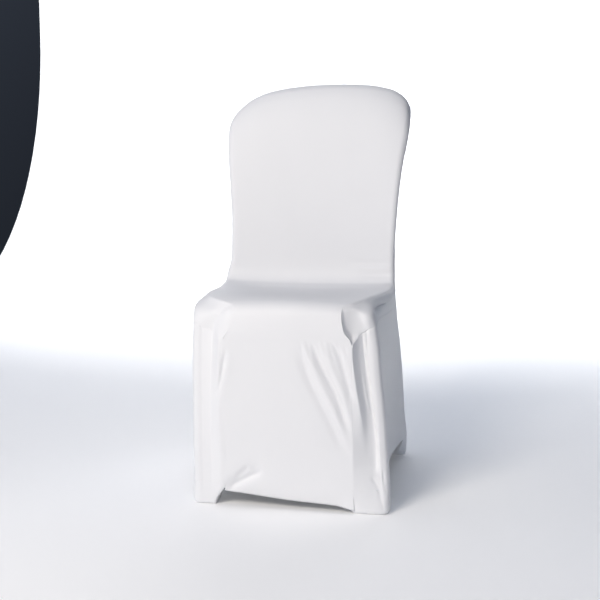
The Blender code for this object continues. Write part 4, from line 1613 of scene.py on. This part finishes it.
@dataclass
class FootPocket:
    """A cup of cloth round one foot, which carries on from the skirt above it down to the floor.

    It is a square of cloth bent into a cup. Floor_ends and wall_starts are shares of the way from
    the square's middle to its border, and between them the cloth turns up by floor_round.
    """

    form: CoverForm
    cloth: Cloth
    foot: Foot
    floor_round: float = 0.011
    floor_ends: float = 0.45
    wall_starts: float = 0.70
    square: float = 4.4
    cells: int = 60
    join_degrees: float = 14.0
    fold_run: float = 0.006

    def build(self, material: bpy.types.Material) -> bpy.types.Object:
        """Bend a square of cloth into the cup and sew its rim.

        Args:
            material: its fabric.

        Returns:
            The finished pocket.
        """
        foot, top, points = self.foot, self.form.pocket_top, self.cup()
        name = f"{foot.end.value}_{foot.hand.word}"
        borders = {border: 0.0 for border in Border}
        panel = self.cloth.sew(f"foot_cup_{name}", points, material, borders, True)
        hang(panel, f"foot_pocket_{name}")
        return panel

    def cup(self) -> np.ndarray:
        """The cup's surface.

        Returns:
            A grid of points, whose border is the rim.
        """
        foot, top = self.foot, self.form.pocket_top
        line = np.linspace(-1, 1, self.cells + 1)
        a, b = np.meshgrid(line, line)
        ring = np.maximum(np.abs(a), np.abs(b))
        angle = np.arctan2(b * foot.half_y, a * foot.half_x)
        turn = np.clip((ring - self.floor_ends) / (self.wall_starts - self.floor_ends), 0, 1) * math.pi / 2
        wall = np.clip((ring - self.wall_starts) / (1 - self.wall_starts), 0, 1)
        height = self.floor_round * (1 - np.cos(turn)) + (top - self.floor_round) * wall
        low = self.floor_radius(angle) - self.floor_round * (1 - np.sin(turn))
        high = self.top_radius(angle)
        rise = soft_step(height / top)
        radius = (low + (high - low) * rise) * np.minimum(ring / self.floor_ends, 1.0)
        x = foot.x + radius * np.cos(angle)
        inward = np.clip(-(x - foot.x) * foot.hand.value / foot.half_x, 0, 1) ** 2
        x = x + foot.hand.value * foot.slant * inward * (1 - rise)
        y = foot.y + radius * np.sin(angle)
        if (foot.hand, foot.end) == (Hand.RIGHT, End.FRONT):
            y = y + self.form.corner_push(x, height) * soft_step((foot.y - y) / self.fold_run) * (1 - rise)
        return np.stack([x, y, height], axis=-1)

    def floor_radius(self, angle: np.ndarray) -> np.ndarray:
        """Reach of the cup's plain wall from its middle, in each direction."""
        x, y = np.abs(np.cos(angle)) / self.foot.half_x, np.abs(np.sin(angle)) / self.foot.half_y
        return (x**self.square + y**self.square) ** (-1 / self.square)

    def top_radius(self, angle: np.ndarray) -> np.ndarray:
        """Reach of the cup's rim, which follows the skirt's hem where it lies under it.

        Args:
            angle: directions from the foot's middle.

        Returns:
            The reach in each direction.
        """
        foot = self.foot
        hem = self.form.hem_plan(foot.hand, foot.end) - np.array([foot.x, foot.y])
        around = np.unwrap(np.arctan2(hem[:, 1], hem[:, 0]))
        reach = np.linalg.norm(hem, axis=1)
        if around[-1] < around[0]:
            around, reach = around[::-1], reach[::-1]
        middle = (around[0] + around[-1]) / 2
        turned = np.mod(angle - middle + math.pi, 2 * math.pi) - math.pi + middle
        under = np.interp(turned, around, reach)
        beyond = np.maximum(np.maximum(around[0] - turned, turned - around[-1]), 0.0)
        plain = soft_step(beyond / math.radians(self.join_degrees))
        return under + (self.floor_radius(angle) - under) * plain


# The studio


class Lamp(NamedTuple):
    """A soft lamp: its place, aim, width, height, strength and colour."""

    name: str
    place: tuple[float, float, float]
    aim: tuple[float, float, float]
    width: float
    height: float
    watts: float
    colour: str


@dataclass(frozen=True)
class Studio:
    """White paper sweep, a soft key lamp from the front left, and the camera at the photo's angle."""

    azimuth: float = 8.31
    elevation: float = 8.76
    distance: float = 2.907
    target: tuple[float, float, float] = (-0.0053, -0.299, -0.4779)
    focal_px: float = 1294.0
    image_px: float = 600.0
    sensor_mm: float = 36.0
    paper_hex: str = "#FFFFFF"
    paper_width: float = 3.8
    paper_front: float = -3.4
    paper_bends_at: float = 2.2
    paper_bend: float = 1.2
    paper_height: float = 4.0
    paper_cells: tuple[int, int] = (8, 96)
    paper_roughness: float = 0.9
    paper_specular: float = 0.1
    sky_hex: str = "#B8C8E6"
    sky_dim: float = 0.03
    sky_bright: float = 0.52
    sky_fades_at: float = -0.4
    sky_from: tuple[float, float, float] = (-0.55, -0.50, 0.67)
    paper_glow: float = 0.07
    lamps: tuple[Lamp, ...] = (
        Lamp("key", (-1.15, -3.00, 1.35), (0.0, -0.1, 0.00), 1.3, 1.3, 80.0, "#FFF7EC"),
        Lamp("floor lamp", (0.0, 2.0, 1.1), (0.0, 2.1, -0.9), 3.2, 0.8, 14.0, "#FFFFFF"),
        Lamp("paper lamp left", (-1.2, 1.7, 1.0), (-0.8, 3.4, 0.2), 0.8, 0.8, 34.0, "#FFFFFF"),
        Lamp("paper lamp right", (1.2, 1.7, 1.0), (0.8, 3.4, 0.2), 0.8, 0.8, 34.0, "#FFFFFF"),
    )

    def paper(self) -> None:
        """Hang the paper: flat on the floor, then up in a soft bend behind the cover."""
        bpy.ops.object.select_all(action="DESELECT")
        wide, long = self.paper_cells
        bpy.ops.mesh.primitive_grid_add(x_subdivisions=wide, y_subdivisions=long, size=1)
        paper = bpy.context.object
        paper.name = "paper_sweep"
        flat = self.paper_bends_at - self.paper_front
        bend = self.paper_bend * math.pi / 2
        length = flat + bend + self.paper_height - self.paper_bend
        for vertex in paper.data.vertices:
            run = (vertex.co.y + 0.5) * length
            angle = min(max(run - flat, 0.0), bend) / self.paper_bend
            rise = max(run - flat - bend, 0.0)
            vertex.co.x *= self.paper_width
            vertex.co.y = self.paper_front + min(run, flat) + self.paper_bend * math.sin(angle)
            vertex.co.z = TO_ROW[2] + self.paper_bend * (1 - math.cos(angle)) + rise
        paper.data.update()
        bpy.ops.object.shade_smooth()
        material = bpy.data.materials.new("white_background_paper")
        material.use_nodes = True
        shader = material.node_tree.nodes["Principled BSDF"]
        shader.inputs["Base Color"].default_value = linear(self.paper_hex)
        shader.inputs["Roughness"].default_value = self.paper_roughness
        shader.inputs["Specular IOR Level"].default_value = self.paper_specular
        shader.inputs["Emission Color"].default_value = linear(self.paper_hex)
        shader.inputs["Emission Strength"].default_value = self.paper_glow
        paper.data.materials.append(material)

    def light(self) -> None:
        """Hang the lamps and fill the shadows from a pale sky."""
        world = bpy.data.worlds.new("pale_sky")
        bpy.context.scene.world = world
        world.use_nodes = True
        tree = world.node_tree
        background = tree.nodes["Background"]
        background.inputs["Color"].default_value = linear(self.sky_hex)
        sky = add_node(tree, "ShaderNodeTexCoord")
        aim = {0: sky.outputs["Generated"], 1: self.sky_from}
        toward = add_node(tree, "ShaderNodeVectorMath", {"operation": "DOT_PRODUCT"}, aim)
        reach = {
            "Value": toward.outputs["Value"],
            "From Min": self.sky_fades_at,
            "From Max": 1.0,
            "To Min": self.sky_dim,
            "To Max": self.sky_bright,
        }
        strength = add_node(tree, "ShaderNodeMapRange", {"interpolation_type": "SMOOTHSTEP"}, reach)
        tree.links.new(strength.outputs["Result"], background.inputs["Strength"])
        for row in self.lamps:
            lamp = bpy.data.lights.new(row.name, "AREA")
            lamp.shape = "RECTANGLE"
            lamp.size = row.width
            lamp.size_y = row.height
            lamp.energy = row.watts
            lamp.color = linear(row.colour)[:3]
            stand = bpy.data.objects.new(row.name, lamp)
            stand.location = row.place
            aim = Vector(row.aim) - Vector(row.place)
            stand.rotation_euler = aim.to_track_quat("-Z", "Y").to_euler()
            bpy.context.scene.collection.objects.link(stand)

    def camera(self) -> None:
        """Stand the camera at the photo's angle, distance and focal length."""
        lens = bpy.data.cameras.new("photo_camera")
        lens.sensor_width = self.sensor_mm
        lens.lens = self.focal_px * self.sensor_mm / self.image_px
        stand = bpy.data.objects.new("photo_camera", lens)
        a, e = math.radians(self.azimuth), math.radians(self.elevation)
        back = Vector((math.sin(a) * math.cos(e), -math.cos(a) * math.cos(e), math.sin(e)))
        stand.location = Vector(self.target) + back * self.distance
        stand.rotation_euler = (-back).to_track_quat("-Z", "Y").to_euler()
        bpy.context.scene.collection.objects.link(stand)
        bpy.context.scene.camera = stand
        bpy.context.scene.view_settings.view_transform = "Standard"


def main() -> None:
    """Build the studio and the cover's pieces in order."""
    logging.basicConfig(level=logging.INFO, format="%(message)s")
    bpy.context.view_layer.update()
    studio = Studio()
    studio.camera()
    studio.paper()
    studio.light()
    material = StretchKnit().make()
    form, cloth = CoverForm(), Cloth()
    LongPanel(form, cloth).build(material)
    RearPanel(form, cloth).build(material)
    for hand in Hand:
        SidePanel(form, cloth, hand).build(material)
        SeatBand(form, cloth, hand).build(material)
    for foot in FEET:
        FootPocket(form, cloth, foot).build(material)


if __name__ == "__main__":
    main()
